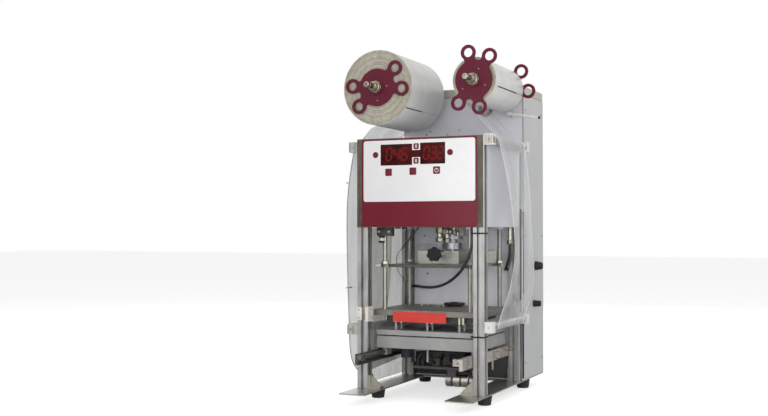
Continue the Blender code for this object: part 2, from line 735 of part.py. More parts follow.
# Cabinet
def build_cabinet():
    plate_rear = CABINET_FRONT + CABINET_SHEET
    bottom = BASE_TOP + SEAT
    front = block("cabinet_front", (-CABINET_HALF_WIDTH, CABINET_FRONT, bottom),
                  (CABINET_HALF_WIDTH, plate_rear, CABINET_TOP - CABINET_CAP), 0.0006)
    for name, x, z in (("supply", SUPPLY_X, SUPPLY_Z), ("takeup", TAKEUP_X, TAKEUP_Z)):
        riser = block("riser_" + name, (x - BOSS_RADIUS, CABINET_FRONT, CABINET_TOP - CABINET_CAP - 0.05),
                      (x + BOSS_RADIUS, plate_rear, CABINET_TOP - 0.0003))
        join(front, riser)
        boss = rod("boss_" + name, BOSS_RADIUS, (x, plate_rear - 0.0005, z),
                   (x, plate_rear - 0.0005 - BOSS_LENGTH, z), 24)
        bore = rod("boss_bore_" + name, SHAFT_RADIUS + RUNNING, (x, CABINET_FRONT - 0.0007, z),
                   (x, CABINET_FRONT - 0.1, z), 16)
        join(front, boss)
        cut(front, bore)
    place(front, LILAC_PAINT)

    body = block("cabinet_body", (-CABINET_HALF_WIDTH, plate_rear + SEAT, bottom),
                 (CABINET_HALF_WIDTH, CABINET_REAR, CABINET_TOP - CABINET_CAP))
    room = block("cabinet_room",
                 (-CABINET_HALF_WIDTH + CABINET_SHEET, plate_rear - 0.02, bottom + CABINET_SHEET),
                 (CABINET_HALF_WIDTH - CABINET_SHEET, CABINET_REAR - CABINET_SHEET,
                  CABINET_TOP - CABINET_CAP - CABINET_SHEET))
    place(cut(body, room), GREY_PAINT)

    cap_bottom = CABINET_TOP - CABINET_CAP + SEAT
    cap = block("cabinet_cap", (-CABINET_HALF_WIDTH, plate_rear + SEAT, cap_bottom),
                (CABINET_HALF_WIDTH, CABINET_REAR, CABINET_TOP), 0.004, 2)
    cap_room = block("cap_room",
                     (-CABINET_HALF_WIDTH + CABINET_SHEET, plate_rear + SEAT + CABINET_SHEET,
                      cap_bottom - 0.01),
                     (CABINET_HALF_WIDTH - CABINET_SHEET, CABINET_REAR - CABINET_SHEET,
                      CABINET_TOP - CABINET_SHEET))
    place(cut(cap, cap_room), BEIGE_PAINT)

    for name, spec in (("side_knob_upper", KNOB_UPPER), ("side_knob_lower", KNOB_LOWER)):
        y, z, length, radius, tip_radius = spec
        knob = turned(name, [(0.0, length), (tip_radius - 0.001, length), (tip_radius, length - 0.001),
                             (radius, KNOB_FOOT), (radius, 0.0), (0.0, 0.0)],
                      (CABINET_HALF_WIDTH + SEAT, y, z), (0.0, math.pi / 2, 0.0), 24)
        place(knob, BLACK_PLASTIC)

    root = Vector((GUARD_ROOT[0], CABINET_FRONT - SEAT, GUARD_ROOT[1]))
    tip = Vector((GUARD_TIP[0], CABINET_FRONT - GUARD_REACH, GUARD_TIP[1]))
    elbow = Vector((root.x, tip.y, root.z))
    guard = rod("film_guard_rod", GUARD_RADIUS, elbow, tip, 16)
    stem = rod("guard_stem", GUARD_STEM_RADIUS, root, elbow - Vector((0.0, GUARD_STEM_RADIUS, 0.0)), 16)
    join(guard, stem)
    place(guard, WHITE_PLASTIC)


# Reels
def hub_outline():
    """Disc with four ring ears in two opposite pairs; the pair axis is local X."""
    neck = math.asin(HUB_NECK_HALF / HUB_DISC_RADIUS)
    mouth = math.asin(HUB_NECK_HALF / HUB_EAR_RADIUS)
    ears = []
    for base_angle in (0.0, math.pi):
        ears += [base_angle - HUB_PAIR_HALF_ANGLE, base_angle + HUB_PAIR_HALF_ANGLE]
    points = []
    for index, angle in enumerate(ears):
        centre = (HUB_EAR_REACH * math.cos(angle), HUB_EAR_REACH * math.sin(angle))
        points += arc(centre, HUB_EAR_RADIUS, angle - math.pi + mouth, angle + math.pi - mouth, 12)
        following = ears[(index + 1) % 4]
        if following < angle:
            following += 2 * math.pi
        count = 2 if index % 2 == 0 else 9
        points += arc((0.0, 0.0), HUB_DISC_RADIUS, angle + neck, following - neck, count)
    holes = [circle((HUB_EAR_REACH * math.cos(angle), HUB_EAR_REACH * math.sin(angle)),
                    HUB_EAR_HOLE, 12) for angle in ears]
    return [points] + holes


def build_hub(name, x, z, turn, front):
    """A front hub lies on the roll's front face with its plug in the core, a rear one mirrors it."""
    if front:
        plate_y = ROLL_FRONT - SEAT - HUB_PLATE / 2
        plug_end = ROLL_FRONT + HUB_PLUG
        boss_end = ROLL_FRONT - SEAT - HUB_PLATE - 0.003
    else:
        plate_y = ROLL_REAR + SEAT + HUB_PLATE / 2
        plug_end = ROLL_REAR - HUB_PLUG
        boss_end = ROLL_REAR + SEAT + HUB_PLATE + 0.003
    hub = plate(name, hub_outline(), HUB_PLATE, (x, plate_y, z), UPRIGHT)
    hub.rotation_euler = (math.pi / 2, -turn, 0.0)
    plug = rod(name + "_plug", CORE_RADIUS - SEAT, (x, plate_y, z), (x, plug_end, z), 28)
    boss = rod(name + "_boss", 0.021, (x, plate_y, z), (x, boss_end, z), 20)
    bore = rod(name + "_bore", SHAFT_RADIUS + SEAT, (x, plate_y - 0.05, z), (x, plate_y + 0.05, z), 16)
    join(hub, plug, boss)
    cut(hub, bore)
    return place(hub, BURGUNDY)


def build_reel(name, x, z, radius, front_turn, rear_turn):
    half = ROLL_WIDTH / 2
    roll = turned(name + "_roll", [(CORE_RADIUS, half), (radius, half), (radius, -half),
                                   (CORE_RADIUS, -half)],
                  (x, ROLL_FRONT + half, z), ALONG_Y, 56, closed=True)
    place(roll, ROLL_FILM)
    build_hub(name + "_hub_front", x, z, front_turn, True)
    build_hub(name + "_hub_rear", x, z, rear_turn, False)
    hub_face = ROLL_FRONT - SEAT - HUB_PLATE - 0.003
    rear_end = CABINET_FRONT - 0.0007 - RUNNING
    nut_rear = hub_face - SEAT
    nut_front = nut_rear - NUT_LENGTH
    collar_front = nut_front - COLLAR_LENGTH
    origin_y = hub_face
    profile = [(0.0, SHAFT_FRONT), (SHAFT_RADIUS - 0.0015, SHAFT_FRONT),
               (SHAFT_RADIUS, SHAFT_FRONT + 0.0015), (SHAFT_RADIUS, collar_front),
               (COLLAR_RADIUS - 0.001, collar_front), (COLLAR_RADIUS, collar_front + 0.001),
               (COLLAR_RADIUS, nut_front), (NUT_RADIUS - 0.0015, nut_front),
               (NUT_RADIUS, nut_front + 0.0015), (NUT_RADIUS, nut_rear - 0.0015),
               (NUT_RADIUS - 0.0015, nut_rear), (SHAFT_RADIUS, nut_rear),
               (SHAFT_RADIUS, rear_end), (0.0, rear_end)]
    heights = [(point, origin_y - y) for point, y in profile]
    shaft = turned(name + "_shaft", heights, (x, origin_y, z), (math.pi / 2, 0.0, 0.0), 18)
    place(shaft, CHROME)


def build_reels():
    build_reel("supply", SUPPLY_X, SUPPLY_Z, SUPPLY_RADIUS, math.radians(19), math.radians(64))
    build_reel("takeup", TAKEUP_X, TAKEUP_Z, TAKEUP_RADIUS, math.radians(78), math.radians(20))


# Guide rollers and their brackets
def build_roller(name, spec):
    x, z, radius = spec
    start = FRONT_POST_REAR + 0.002
    end = REAR_POST_FRONT - 0.002
    length = end - start
    pin_start = -BRACKET_DEPTH / 2 + 0.002
    pin_end = POST_PITCH_Y + BRACKET_DEPTH / 2 - 0.002
    middle = (start + end) / 2
    profile = [(0.0, middle - pin_start), (ROLLER_PIN_RADIUS, middle - pin_start),
               (ROLLER_PIN_RADIUS, length / 2), (radius, length / 2), (radius, -length / 2),
               (ROLLER_PIN_RADIUS, -length / 2),
               (ROLLER_PIN_RADIUS, middle - pin_end), (0.0, middle - pin_end)]
    roller = turned(name, profile, (x, middle, z), (math.pi / 2, 0.0, 0.0), 22)
    place(roller, ALUMINIUM)


def build_film_guides():
    rollers = (("upper_left", ROLLER_UPPER_LEFT), ("upper_right", ROLLER_UPPER_RIGHT),
               ("lower_left", ROLLER_LOWER_LEFT), ("lower_right", ROLLER_LOWER_RIGHT))
    for label, spec in rollers:
        build_roller("guide_roller_" + label, spec)


def around(spec, start_deg, end_deg, count):
    """Points of a film lying on a guide roller."""
    x, z, radius = spec
    reach = radius + RUNNING + FILM_THICKNESS
    return arc((x, z), reach, math.radians(start_deg), math.radians(end_deg), count)


def build_films():
    roll_gap = RUNNING + FILM_THICKNESS
    left_top = [(SUPPLY_X, SUPPLY_Z - SUPPLY_RADIUS - roll_gap), (-0.158, 0.7335), (-0.1785, 0.7120)]
    left_line = [Vector(point) for point in left_top]
    left_line += [Vector(point) for point in around(ROLLER_UPPER_LEFT, 128, 170, 3)]
    left_near = left_line + [Vector(point) for point in SUPPLY_NEAR]
    left_far = left_line + [Vector(point) for point in SUPPLY_FAR]
    film_left = film_sheet("film_web_supply", smooth_path(left_near, 2), smooth_path(left_far, 2))
    place(film_left, CLEAR_FILM)

    touch = math.radians(221)
    start = (TAKEUP_X + (TAKEUP_RADIUS + roll_gap) * math.cos(touch),
             TAKEUP_Z + (TAKEUP_RADIUS + roll_gap) * math.sin(touch))
    over = [Vector(point) for point in around(ROLLER_UPPER_RIGHT, 42, 5, 3)]
    under = [Vector(point) for point in around(ROLLER_LOWER_RIGHT, -12, -80, 4)]
    tail = [Vector(point) for point in TAKEUP_TAIL]
    run = [Vector(start).lerp(over[0], 0.33), Vector(start).lerp(over[0], 0.67)]
    near_line = [Vector(start)] + run + over + [Vector(p) for p in TAKEUP_NEAR] + under + tail
    far_line = [Vector(start)] + run + over + [Vector(p) for p in TAKEUP_FAR] + under + tail
    film_right = film_sheet("film_web_takeup", smooth_path(near_line, 2), smooth_path(far_line, 2))
    end = WINDOW_HALF_HEIGHT - WINDOW_HALF_WIDTH
    window = arc((0.0, end), WINDOW_HALF_WIDTH, 0.0, math.pi, 13)
    window += arc((0.0, -end), WINDOW_HALF_WIDTH, math.pi, 2 * math.pi, 13)
    opening = plate("film_window", [window], 0.08, (TAKEUP_NEAR[3][0] - 0.012, WINDOW_Y, WINDOW_Z),
                    (math.pi / 2, 0.0, math.pi / 2))
    cut(film_right, opening)
    place(film_right, CLEAR_FILM)


# Mould drawer
def build_rails():
    for side, label in ((-1, "left"), (1, "right")):
        low_x, high_x = sorted((side * RAIL_INNER, side * RAIL_OUTER))
        rail = block("drawer_rail_" + label, (low_x, RAIL_FRONT, RAIL_BOTTOM),
                     (high_x, RAIL_REAR, RAIL_TOP), 0.0008)
        groove_x = sorted((side * (RAIL_INNER - 0.01), side * (RAIL_INNER + RAIL_GROOVE_DEPTH)))
        middle = (RAIL_BOTTOM + RAIL_TOP) / 2
        groove = block("rail_groove_" + label,
                       (groove_x[0], RAIL_FRONT + 0.004, middle - RAIL_GROOVE_HALF),
                       (groove_x[1], RAIL_REAR - 0.004, middle + RAIL_GROOVE_HALF))
        cut(rail, groove)
        lug_inner = side * (ROD_X - ROD_RADIUS - 0.003)
        lug_x = sorted((lug_inner, side * (RAIL_OUTER - 0.002)))
        for spot, start_y in (("front", RAIL_FRONT + 0.001), ("rear", RAIL_REAR - 0.001 - LUG_LENGTH)):
            lug = block("rail_lug_" + label + "_" + spot, (lug_x[0], start_y, ROD_Z - 0.010),
                        (lug_x[1], start_y + LUG_LENGTH, RAIL_TOP - 0.0005))
            join(rail, lug)
        bore = rod("rail_bore_" + label, ROD_RADIUS + SEAT, (side * ROD_X, RAIL_FRONT - 0.02, ROD_Z),
                   (side * ROD_X, RAIL_REAR + 0.02, ROD_Z), 24)
        cut(rail, bore)
        place(rail, ALUMINIUM)
        bar = rod("drawer_rod_" + label, ROD_RADIUS, (side * ROD_X, ROD_FRONT, ROD_Z),
                  (side * ROD_X, RAIL_REAR, ROD_Z), 20)
        place(bar, CHROME)


def build_mould():
    base = block("mould_base", (-MOULD_HALF_WIDTH, MOULD_FRONT, MOULD_BOTTOM),
                 (MOULD_HALF_WIDTH, MOULD_REAR, MOULD_SPLIT), MOULD_EDGE)
    top = block("mould_top", (-MOULD_HALF_WIDTH, MOULD_FRONT, MOULD_PLATE_BOTTOM),
                (MOULD_HALF_WIDTH, MOULD_REAR, MOULD_PLATE_TOP), MOULD_EDGE)
    for side, label in ((-1, "left"), (1, "right")):
        for spot, centre_y in zip(("front", "rear"), SADDLE_Y):
            tag = label + "_" + spot
            saddle_x = sorted((side * SADDLE_INNER, side * (RAIL_INNER - 0.0050)))
            saddle = block("saddle_" + tag,
                           (saddle_x[0], centre_y - SADDLE_LENGTH / 2, ROD_Z - ROD_RADIUS - SADDLE_WALL),
                           (saddle_x[1], centre_y + SADDLE_LENGTH / 2, MOULD_BOTTOM + 0.001))
            join(base, saddle)
            spacer = rod("spacer_" + tag, SPACER_RADIUS, (side * SPACER_X, centre_y, MOULD_SPLIT - 0.001),
                         (side * SPACER_X, centre_y, MOULD_SPLIT + MOULD_SPACER), 20)
            join(base, spacer)
        channel = rod("saddle_bore_" + label, ROD_RADIUS + RUNNING, (side * ROD_X, 0.0, ROD_Z),
                      (side * ROD_X, 0.30, ROD_Z), 24)
        cut(base, channel)
        hole = rod("cup_hole_base_" + label, CUP_RADIUS, (side * CUP_X, CUP_Y, MOULD_BOTTOM - 0.01),
                   (side * CUP_X, CUP_Y, MOULD_SPLIT + 0.01), 32)
        cut(base, hole)
        bore = rod("cup_hole_top_" + label, CUP_RADIUS, (side * CUP_X, CUP_Y, MOULD_SPLIT - 0.01),
                   (side * CUP_X, CUP_Y, MOULD_PLATE_TOP + 0.01), 32)
        rim = rod("cup_rim_" + label, CUP_RIM_RADIUS,
                  (side * CUP_X, CUP_Y, MOULD_PLATE_TOP - CUP_RIM_DEPTH),
                  (side * CUP_X, CUP_Y, MOULD_PLATE_TOP + 0.01), 32)
        cut(top, bore, rim)
    screw = rod("clamp_screw", CLAMP_SCREW_RADIUS, (*CLAMP_SCREW, CLAMP_SCREW_LOW),
                (*CLAMP_SCREW, MOULD_BOTTOM + 0.001), 12)
    join(base, screw)
    place(base, CAST)
    for column, x in enumerate(PIN_COLUMNS):
        for row, y in enumerate(PIN_ROWS):
            pin = rod("mould_pin_%d_%d" % (column, row), PIN_RADIUS, (x, y, MOULD_PLATE_TOP - 0.001),
                      (x, y, MOULD_PLATE_TOP + PIN_HEIGHT), 10)
            join(top, pin)
    place(top, CAST)
    bumper = rod("mould_bumper", BUMPER_RADIUS, (*BUMPER_CENTRE, MOULD_BOTTOM - SEAT - BUMPER_HEIGHT),
                 (*BUMPER_CENTRE, MOULD_BOTTOM - SEAT), 20)
    place(bumper, RUBBER)


# Press
def build_press():
    head = block("seal_head", (-HEAD_HALF_WIDTH, HEAD_FRONT, HEAD_TOP - HEAD_PLATE),
                 (HEAD_HALF_WIDTH, HEAD_REAR, HEAD_TOP), 0.001)
    heater = block("heater_block", (-HEATER_HALF_WIDTH, HEAD_FRONT + HEATER_INSET, HEAD_BOTTOM),
                   (HEATER_HALF_WIDTH, HEAD_REAR - HEATER_INSET, HEAD_TOP - HEAD_PLATE + 0.001))
    join(head, heater)
    for side, label in ((-1, "left"), (1, "right")):
        pad = rod("seal_pad_" + label, CUP_RIM_RADIUS, (side * CUP_X, CUP_Y, HEAD_BOTTOM - PAD_THICKNESS),
                  (side * CUP_X, CUP_Y, HEAD_BOTTOM + 0.001), 32)
        join(head, pad)
    for column, x in enumerate(PIN_COLUMNS):
        well = rod("pin_well_%d" % column, PIN_RADIUS + PIN_CLEARANCE,
                   (x, PIN_ROWS[1], HEAD_BOTTOM - 0.01), (x, PIN_ROWS[1], HEAD_TOP - HEAD_PLATE - 0.0005), 10)
        cut(head, well)
    for tag, x, y in columns():
        column = rod("guide_column_" + tag, COLUMN_RADIUS, (x, y, HEAD_TOP - 0.012), (x, y, COLUMN_TOP),
                     16)
        join(head, column)
    place(head, DARK_STEEL)

    strip = block("red_strip", (STRIP_X[0], HEAD_FRONT - SEAT - STRIP_THICKNESS, STRIP_Z[0]),
                  (STRIP_X[1], HEAD_FRONT - SEAT, STRIP_Z[1]))
    place(strip, RED_STRIP)

    tie = block("crosshead", (-TIE_HALF_WIDTH, TIE_FRONT, TIE_BOTTOM), (TIE_HALF_WIDTH, TIE_REAR, TIE_TOP),
                TIE_EDGE)
    for tag, x, y in columns():
        ear = rod("tie_ear_" + tag, COLUMN_RADIUS + BUSH_WALL, (x, y, TIE_BOTTOM), (x, y, TIE_TOP), 16)
        join(tie, ear)
    for side, label in ((-1, "left"), (1, "right")):
        bridge = block("tie_bridge_" + label,
                       (min(side * COLUMN_REAR[0], side * 0.10), COLUMN_REAR[1] - 0.009, TIE_BOTTOM),
                       (max(side * COLUMN_REAR[0], side * 0.10), COLUMN_REAR[1] + 0.009, TIE_TOP))
        join(tie, bridge)
    web = block("tie_web", (WEB_X[0], WEB_Y - WEB_THICKNESS / 2, TIE_TOP - 0.001),
                (WEB_X[1], WEB_Y + WEB_THICKNESS / 2, TIE_TOP + WEB_HEIGHT), TIE_EDGE)
    boss_front = STAR_Y + STAR_THICKNESS / 2 + WEB_BOSS_GAP
    boss = rod("tie_boss", WEB_BOSS_RADIUS, (0.0, WEB_Y, STAR_Z), (0.0, boss_front, STAR_Z), 24)
    rear_web = block("tie_rear_web", (REAR_WEB_X[0], REAR_WEB_Y[0], TIE_TOP - 0.001),
                     (REAR_WEB_X[1], REAR_WEB_Y[1], TIE_TOP + WEB_HEIGHT), TIE_EDGE)
    join(tie, web, rear_web, boss)
    for tag, x, y in columns():
        bore = rod("tie_bore_" + tag, COLUMN_RADIUS + SEAT, (x, y, TIE_BOTTOM - 0.02),
                   (x, y, TIE_TOP + 0.02), 16)
        cut(tie, bore)
    stem_bore = rod("tie_stem_bore", STAR_STEM_RADIUS + RUNNING, (0.0, WEB_Y - 0.012, STAR_Z),
                    (0.0, STAR_Y, STAR_Z), 20)
    cut(tie, stem_bore)
    place(tie, CAST)

    build_star_knob()

    floor_under = FLOOR_BOTTOM - SEAT
    barrel = rod("press_cylinder", PRESS_CYLINDER_RADIUS,
                 (0.0, PRESS_Y, PRESS_CYLINDER_BOTTOM + PRESS_GLAND_HEIGHT), (0.0, PRESS_Y, floor_under), 28)
    gland = rod("press_gland", PRESS_ROD_RADIUS + 0.007, (0.0, PRESS_Y, PRESS_CYLINDER_BOTTOM),
                (0.0, PRESS_Y, PRESS_CYLINDER_BOTTOM + PRESS_GLAND_HEIGHT + 0.002), 28)
    barrel_front = PRESS_Y - PRESS_CYLINDER_RADIUS
    inlet = rod("press_inlet", PRESS_INLET_RADIUS, (0.0, barrel_front - PRESS_INLET_REACH, PRESS_INLET_Z),
                (0.0, barrel_front + 0.004, PRESS_INLET_Z), 16)
    bore = rod("press_bore", PRESS_ROD_RADIUS + RUNNING, (0.0, PRESS_Y, PRESS_CYLINDER_BOTTOM - 0.02),
               (0.0, PRESS_Y, floor_under - 0.002), 28)
    join(barrel, gland, inlet)
    cut(barrel, bore)
    place(barrel, DARK_STEEL)
    piston = rod("press_rod", PRESS_ROD_RADIUS, (0.0, PRESS_Y, TIE_TOP + SEAT),
                 (0.0, PRESS_Y, floor_under - 0.006), 28)
    foot = rod("press_rod_foot", PRESS_ROD_RADIUS + 0.006, (0.0, PRESS_Y, TIE_TOP + SEAT),
               (0.0, PRESS_Y, TIE_TOP + SEAT + 0.008), 28)
    join(piston, foot)
    place(piston, CHROME)


def build_star_knob():
    """A lobed grip on a stem that runs in the crosshead's boss; turns about Y."""
    points = []
    for lobe in range(STAR_LOBES):
        angle = 2 * math.pi * lobe / STAR_LOBES + math.pi / 2
        centre = (STAR_LOBE_REACH * math.cos(angle), STAR_LOBE_REACH * math.sin(angle))
        points += arc(centre, STAR_LOBE_RADIUS, angle - 1.25, angle + 1.25, 5)
        middle = angle + math.pi / STAR_LOBES
        points.append((STAR_WAIST * math.cos(middle), STAR_WAIST * math.sin(middle)))
    knob = plate("star_knob", [points], STAR_THICKNESS, (0.0, STAR_Y, STAR_Z), UPRIGHT)
    bevel(knob, 0.0012, 1, math.radians(50))
    stem = rod("star_stem", STAR_STEM_RADIUS, (0.0, STAR_Y, STAR_Z), (0.0, WEB_Y - 0.0135, STAR_Z), 20)
    collar = rod("star_collar", 0.010, (0.0, STAR_Y, STAR_Z),
                 (0.0, STAR_Y + STAR_THICKNESS / 2 + WEB_BOSS_GAP - RUNNING, STAR_Z), 20)
    join(knob, stem, collar)
    place(knob, BLACK_PLASTIC)


# Drive
def build_drive():
    platform = block("drive_platform", (PLATFORM_X[0], PLATFORM_FRONT, PLATFORM_TOP - PLATFORM_THICKNESS),
                     (PLATFORM_X[1], CABINET_FRONT - SEAT, PLATFORM_TOP), 0.001)
    saddle = block("drive_saddle", (DRIVE_SADDLE_X[0], DRIVE_Y - DRIVE_SADDLE_HALF, DRIVE_Z - 0.002),
                   (DRIVE_SADDLE_X[1], DRIVE_Y + DRIVE_SADDLE_HALF,
                    PLATFORM_TOP - PLATFORM_THICKNESS + 0.001))
    body = block("drive_body", (-0.030, 0.125, PLATFORM_TOP - 0.001), (0.046, 0.205, 0.124))
    ridge = block("drive_ridge", (-0.012, 0.105, PLATFORM_TOP - 0.001), (0.010, 0.150, 0.110))
    join(platform, saddle, body, ridge)
    hollow = rod("drive_saddle_bore", DRIVE_RADIUS + SEAT, (0.02, DRIVE_Y, DRIVE_Z),
                 (0.09, DRIVE_Y, DRIVE_Z), 36)
    cut(platform, hollow)
    place(platform, DARK_STEEL)

    length = DRIVE_X[1] - DRIVE_X[0]
    groove = DRIVE_RADIUS - DRIVE_BAND_DEPTH
    profile = [(0.0, length), (DRIVE_RADIUS - DRIVE_EDGE, length), (DRIVE_RADIUS, length - DRIVE_EDGE)]
    for start in DRIVE_BAND_STARTS:
        end = start + DRIVE_BAND_WIDTH
        profile += [(DRIVE_RADIUS, end), (groove, end), (groove, start), (DRIVE_RADIUS, start)]
    profile += [(DRIVE_RADIUS, DRIVE_EDGE), (DRIVE_RADIUS - DRIVE_EDGE, 0.0), (0.0, 0.0)]
    cylinder = turned("drive_cylinder", profile, (DRIVE_X[0], DRIVE_Y, DRIVE_Z), (0.0, math.pi / 2, 0.0), 24)
    place(cylinder, CHROME)


# Hoses
def build_hoses():
    floor_under = FLOOR_BOTTOM - SEAT
    last = HOSE_FRONT_ROUTE[-1]
    route = [(-POST_INNER + SEAT, REAR_POST_FRONT + 0.0076, 0.2935)] + HOSE_FRONT_ROUTE
    front = hose("hose_front", route + [(last[0], last[1], floor_under)], HOSE_RADIUS, 2)
    place(front, BLACK_PLASTIC)
    first = HOSE_RIGHT_ROUTE[0]
    last = HOSE_RIGHT_ROUTE[-1]
    route = [(first[0], first[1], floor_under)] + HOSE_RIGHT_ROUTE
    right = hose("hose_right", route + [(last[0], CABINET_FRONT - SEAT, last[2])], HOSE_RADIUS)
    place(right, BLACK_PLASTIC)


build_base()
build_feet()
build_posts()
build_housing()
build_cabinet()
build_reels()
build_film_guides()
build_films()
build_rails()
build_mould()
build_press()
build_drive()
build_hoses()
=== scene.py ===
"""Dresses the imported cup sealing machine: finishes, panel, reels, film, hoses and fasteners."""

import math
import random

import bmesh
import bpy
from bpy.props import FloatProperty, FloatVectorProperty, IntProperty, PointerProperty, StringProperty
from mathutils import Matrix, Vector, noise


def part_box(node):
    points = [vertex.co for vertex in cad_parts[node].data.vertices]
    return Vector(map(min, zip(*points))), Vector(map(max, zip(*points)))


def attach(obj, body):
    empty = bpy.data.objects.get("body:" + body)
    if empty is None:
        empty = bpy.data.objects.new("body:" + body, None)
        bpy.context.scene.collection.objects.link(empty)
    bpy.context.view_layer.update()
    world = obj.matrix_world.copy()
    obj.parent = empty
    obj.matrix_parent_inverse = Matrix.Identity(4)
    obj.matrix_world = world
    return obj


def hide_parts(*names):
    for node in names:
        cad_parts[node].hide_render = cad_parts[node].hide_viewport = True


bl_info = {
    "name": "Cup sealing machine",
    "version": (1, 0, 0),
    "blender": (4, 5, 0),
    "location": "3D View > Sidebar > Cup sealer",
    "description": "Builds the panel, reels, film webs, hoses and finishes of a bench cup sealing machine",
    "category": "Object",
}

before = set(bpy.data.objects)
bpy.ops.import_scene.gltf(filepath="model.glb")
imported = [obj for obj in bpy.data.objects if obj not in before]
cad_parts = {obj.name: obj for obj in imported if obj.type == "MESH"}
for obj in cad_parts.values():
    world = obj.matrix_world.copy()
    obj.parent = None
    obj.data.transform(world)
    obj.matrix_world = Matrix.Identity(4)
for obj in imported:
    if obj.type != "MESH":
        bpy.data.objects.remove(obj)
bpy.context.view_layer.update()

MM = 0.001
PANEL_LOW, PANEL_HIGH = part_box("control_panel_box")
POST_LOW, POST_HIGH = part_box("post_front_left")
ORIGIN = Vector(((PANEL_LOW.x + PANEL_HIGH.x) / 2, (POST_LOW.y + POST_HIGH.y) / 2, 0))

# Places that the machine's frame settles, in millimetres from its middle plane and front posts
POST_X = 164.3
POST_HALF = 15
REAR_POST_Y = 296.4
CABINET_Y = 311.7
CABINET_HALF = 183
PANEL_FACE_Y = -19.4
ROLL_FRONT_Y = 22
ROLL_WIDTH = 236
HUB_FACE_Y = 12.7
CORE_RADIUS = 38
SUPPLY = (-137, 844, 102)
TAKEUP = (141, 849, 60.3)
FILM_FRONT_Y = 27.5
HEATER_TOP = 227.2
HEAD_TOP = 243.2
TIE_TOP = 365.2
FLOOR_Z = 465.4
FILM_WIDTH = 225
ROLLER_UPPER_LEFT = (-196, 681, 11)
ROLLER_UPPER_RIGHT = (193, 690, 11)
ROLLER_LOWER_LEFT = (-201, 190, 14.5)
ROLLER_LOWER_RIGHT = (191, 209, 10)


def rgba(hex_colour):
    """An sRGB hex colour as linear red, green, blue and alpha."""
    parts = [int(hex_colour[i:i + 2], 16) / 255 for i in (0, 2, 4)]
    return [part / 12.92 if part <= 0.04045 else ((part + 0.055) / 1.055) ** 2.4 for part in parts] + [1]


# Settings that a user would change
def colour_setting(name, description, hex_colour):
    """A colour that starts at an sRGB hex colour."""
    return FloatVectorProperty(name=name, description=description, subtype="COLOR", size=4, min=0, max=1,
                               default=rgba(hex_colour))


def length_setting(name, description, default):
    """A length that starts at that many metres."""
    return FloatProperty(name=name, description=description, unit="LENGTH", default=default)


class PanelSettings(bpy.types.PropertyGroup):
    film_colour: colour_setting("Overlay colour", "Printed polycarbonate overlay", "661626")
    field_colour: colour_setting("Field colour", "Pale field behind the displays", "E3E3E3")
    glow_colour: colour_setting("Digit colour", "Light of the display digits", "7A100E")
    left_digits: StringProperty(name="Left display", description="Digits of the left display", default="046")
    right_digits: StringProperty(
        name="Right display", description="Digits of the right display", default="032")
    digit_height: length_setting("Digit height", "Height of one display digit", 0.0315)
    button_size: length_setting("Button size", "Side of a square membrane button", 0.0195)


class ReelSettings(bpy.types.PropertyGroup):
    hub_colour: colour_setting("Hub colour", "Laser-cut acrylic hubs", "5E0F28")
    layer_pitch: length_setting("Layer pitch", "Radial size of one visible band of wound film", 0.0024)
    ear_radius: length_setting("Ear radius", "Outer radius of a hub's ring ear", 0.0208)
    ear_hole: length_setting("Ear hole radius", "Radius of the hole in a ring ear", 0.0120)


class FilmSettings(bpy.types.PropertyGroup):
    film_colour: colour_setting("Film colour", "Translucent lidding film", "BEC0C0")
    ripple: length_setting("Ripple", "Height of the slack web's ripples", 0.0012)
    window_radius: length_setting("Window radius", "Radius of the punched window's round ends", 0.050)


class HoseSettings(bpy.types.PropertyGroup):
    hose_colour: colour_setting("Hose colour", "Polyurethane air hose", "17181A")
    diameter: length_setting("Hose diameter", "Outer diameter of an air hose", 0.008)


class StageSettings(bpy.types.PropertyGroup):
    floor_colour: colour_setting("Floor colour", "Plain pale studio floor", "FBFBFB")
    lens: FloatProperty(name="Lens", description="Camera focal length", unit="CAMERA", default=49.53)
    key_power: IntProperty(name="Key light", description="Power of the front softbox in watts", default=43)


# Shapes: local sizes are millimetres, and a move matrix takes them to the machine
def at(x, y, z):
    """A world point given in millimetres from the middle plane, the front posts and the bench."""
    return ORIGIN + Vector((x, y, z)) * MM


FACINGS = {
    "up": Matrix.Identity(4),
    "down": Matrix.Rotation(math.pi, 4, "X"),
    "front": Matrix.Rotation(math.pi / 2, 4, "X"),
    "rear": Matrix.Rotation(-math.pi / 2, 4, "X"),
    "right": Matrix.Rotation(math.pi / 2, 4, "Y"),
    "left": Matrix.Rotation(-math.pi / 2, 4, "Y"),
}


def spot(x=0, y=0, z=0, facing="up", turn=0):
    """Places local millimetres with local Z pointing that way, turned by degrees round it."""
    return (Matrix.Translation(at(x, y, z)) @ FACINGS[facing] @ Matrix.Rotation(math.radians(turn), 4, "Z")
            @ Matrix.Scale(MM, 4))


# Turns an outline drawn in (y, z) millimetres into the plane of a side face
QUARTER = Matrix(((0, -1, 0, 0), (1, 0, 0, 0), (0, 0, 1, 0), (0, 0, 0, 1)))


def pour(source, shape, move, finish):
    """Copies one shape's faces into another, moved and given a finish number, and frees the first."""
    copies = {vert: shape.verts.new(move @ vert.co) for vert in source.verts}
    for face in source.faces:
        copy = shape.faces.new([copies[vert] for vert in face.verts])
        copy.material_index = finish
    source.free()


def add_block(shape, low, high, edge, finish=0):
    """A box between two corners of the machine with rounded edges."""
    low = Vector(low)
    high = Vector(high)
    made = bmesh.new()
    bmesh.ops.create_cube(
        made, size=1, matrix=Matrix.Translation((low + high) / 2) @ Matrix.Diagonal((*(high - low), 1)))
    if edge:
        bmesh.ops.bevel(made, geom=made.edges[:], offset=edge, segments=2, profile=0.5, affect="EDGES",
                        clamp_overlap=True)
    pour(made, shape, spot(), finish)


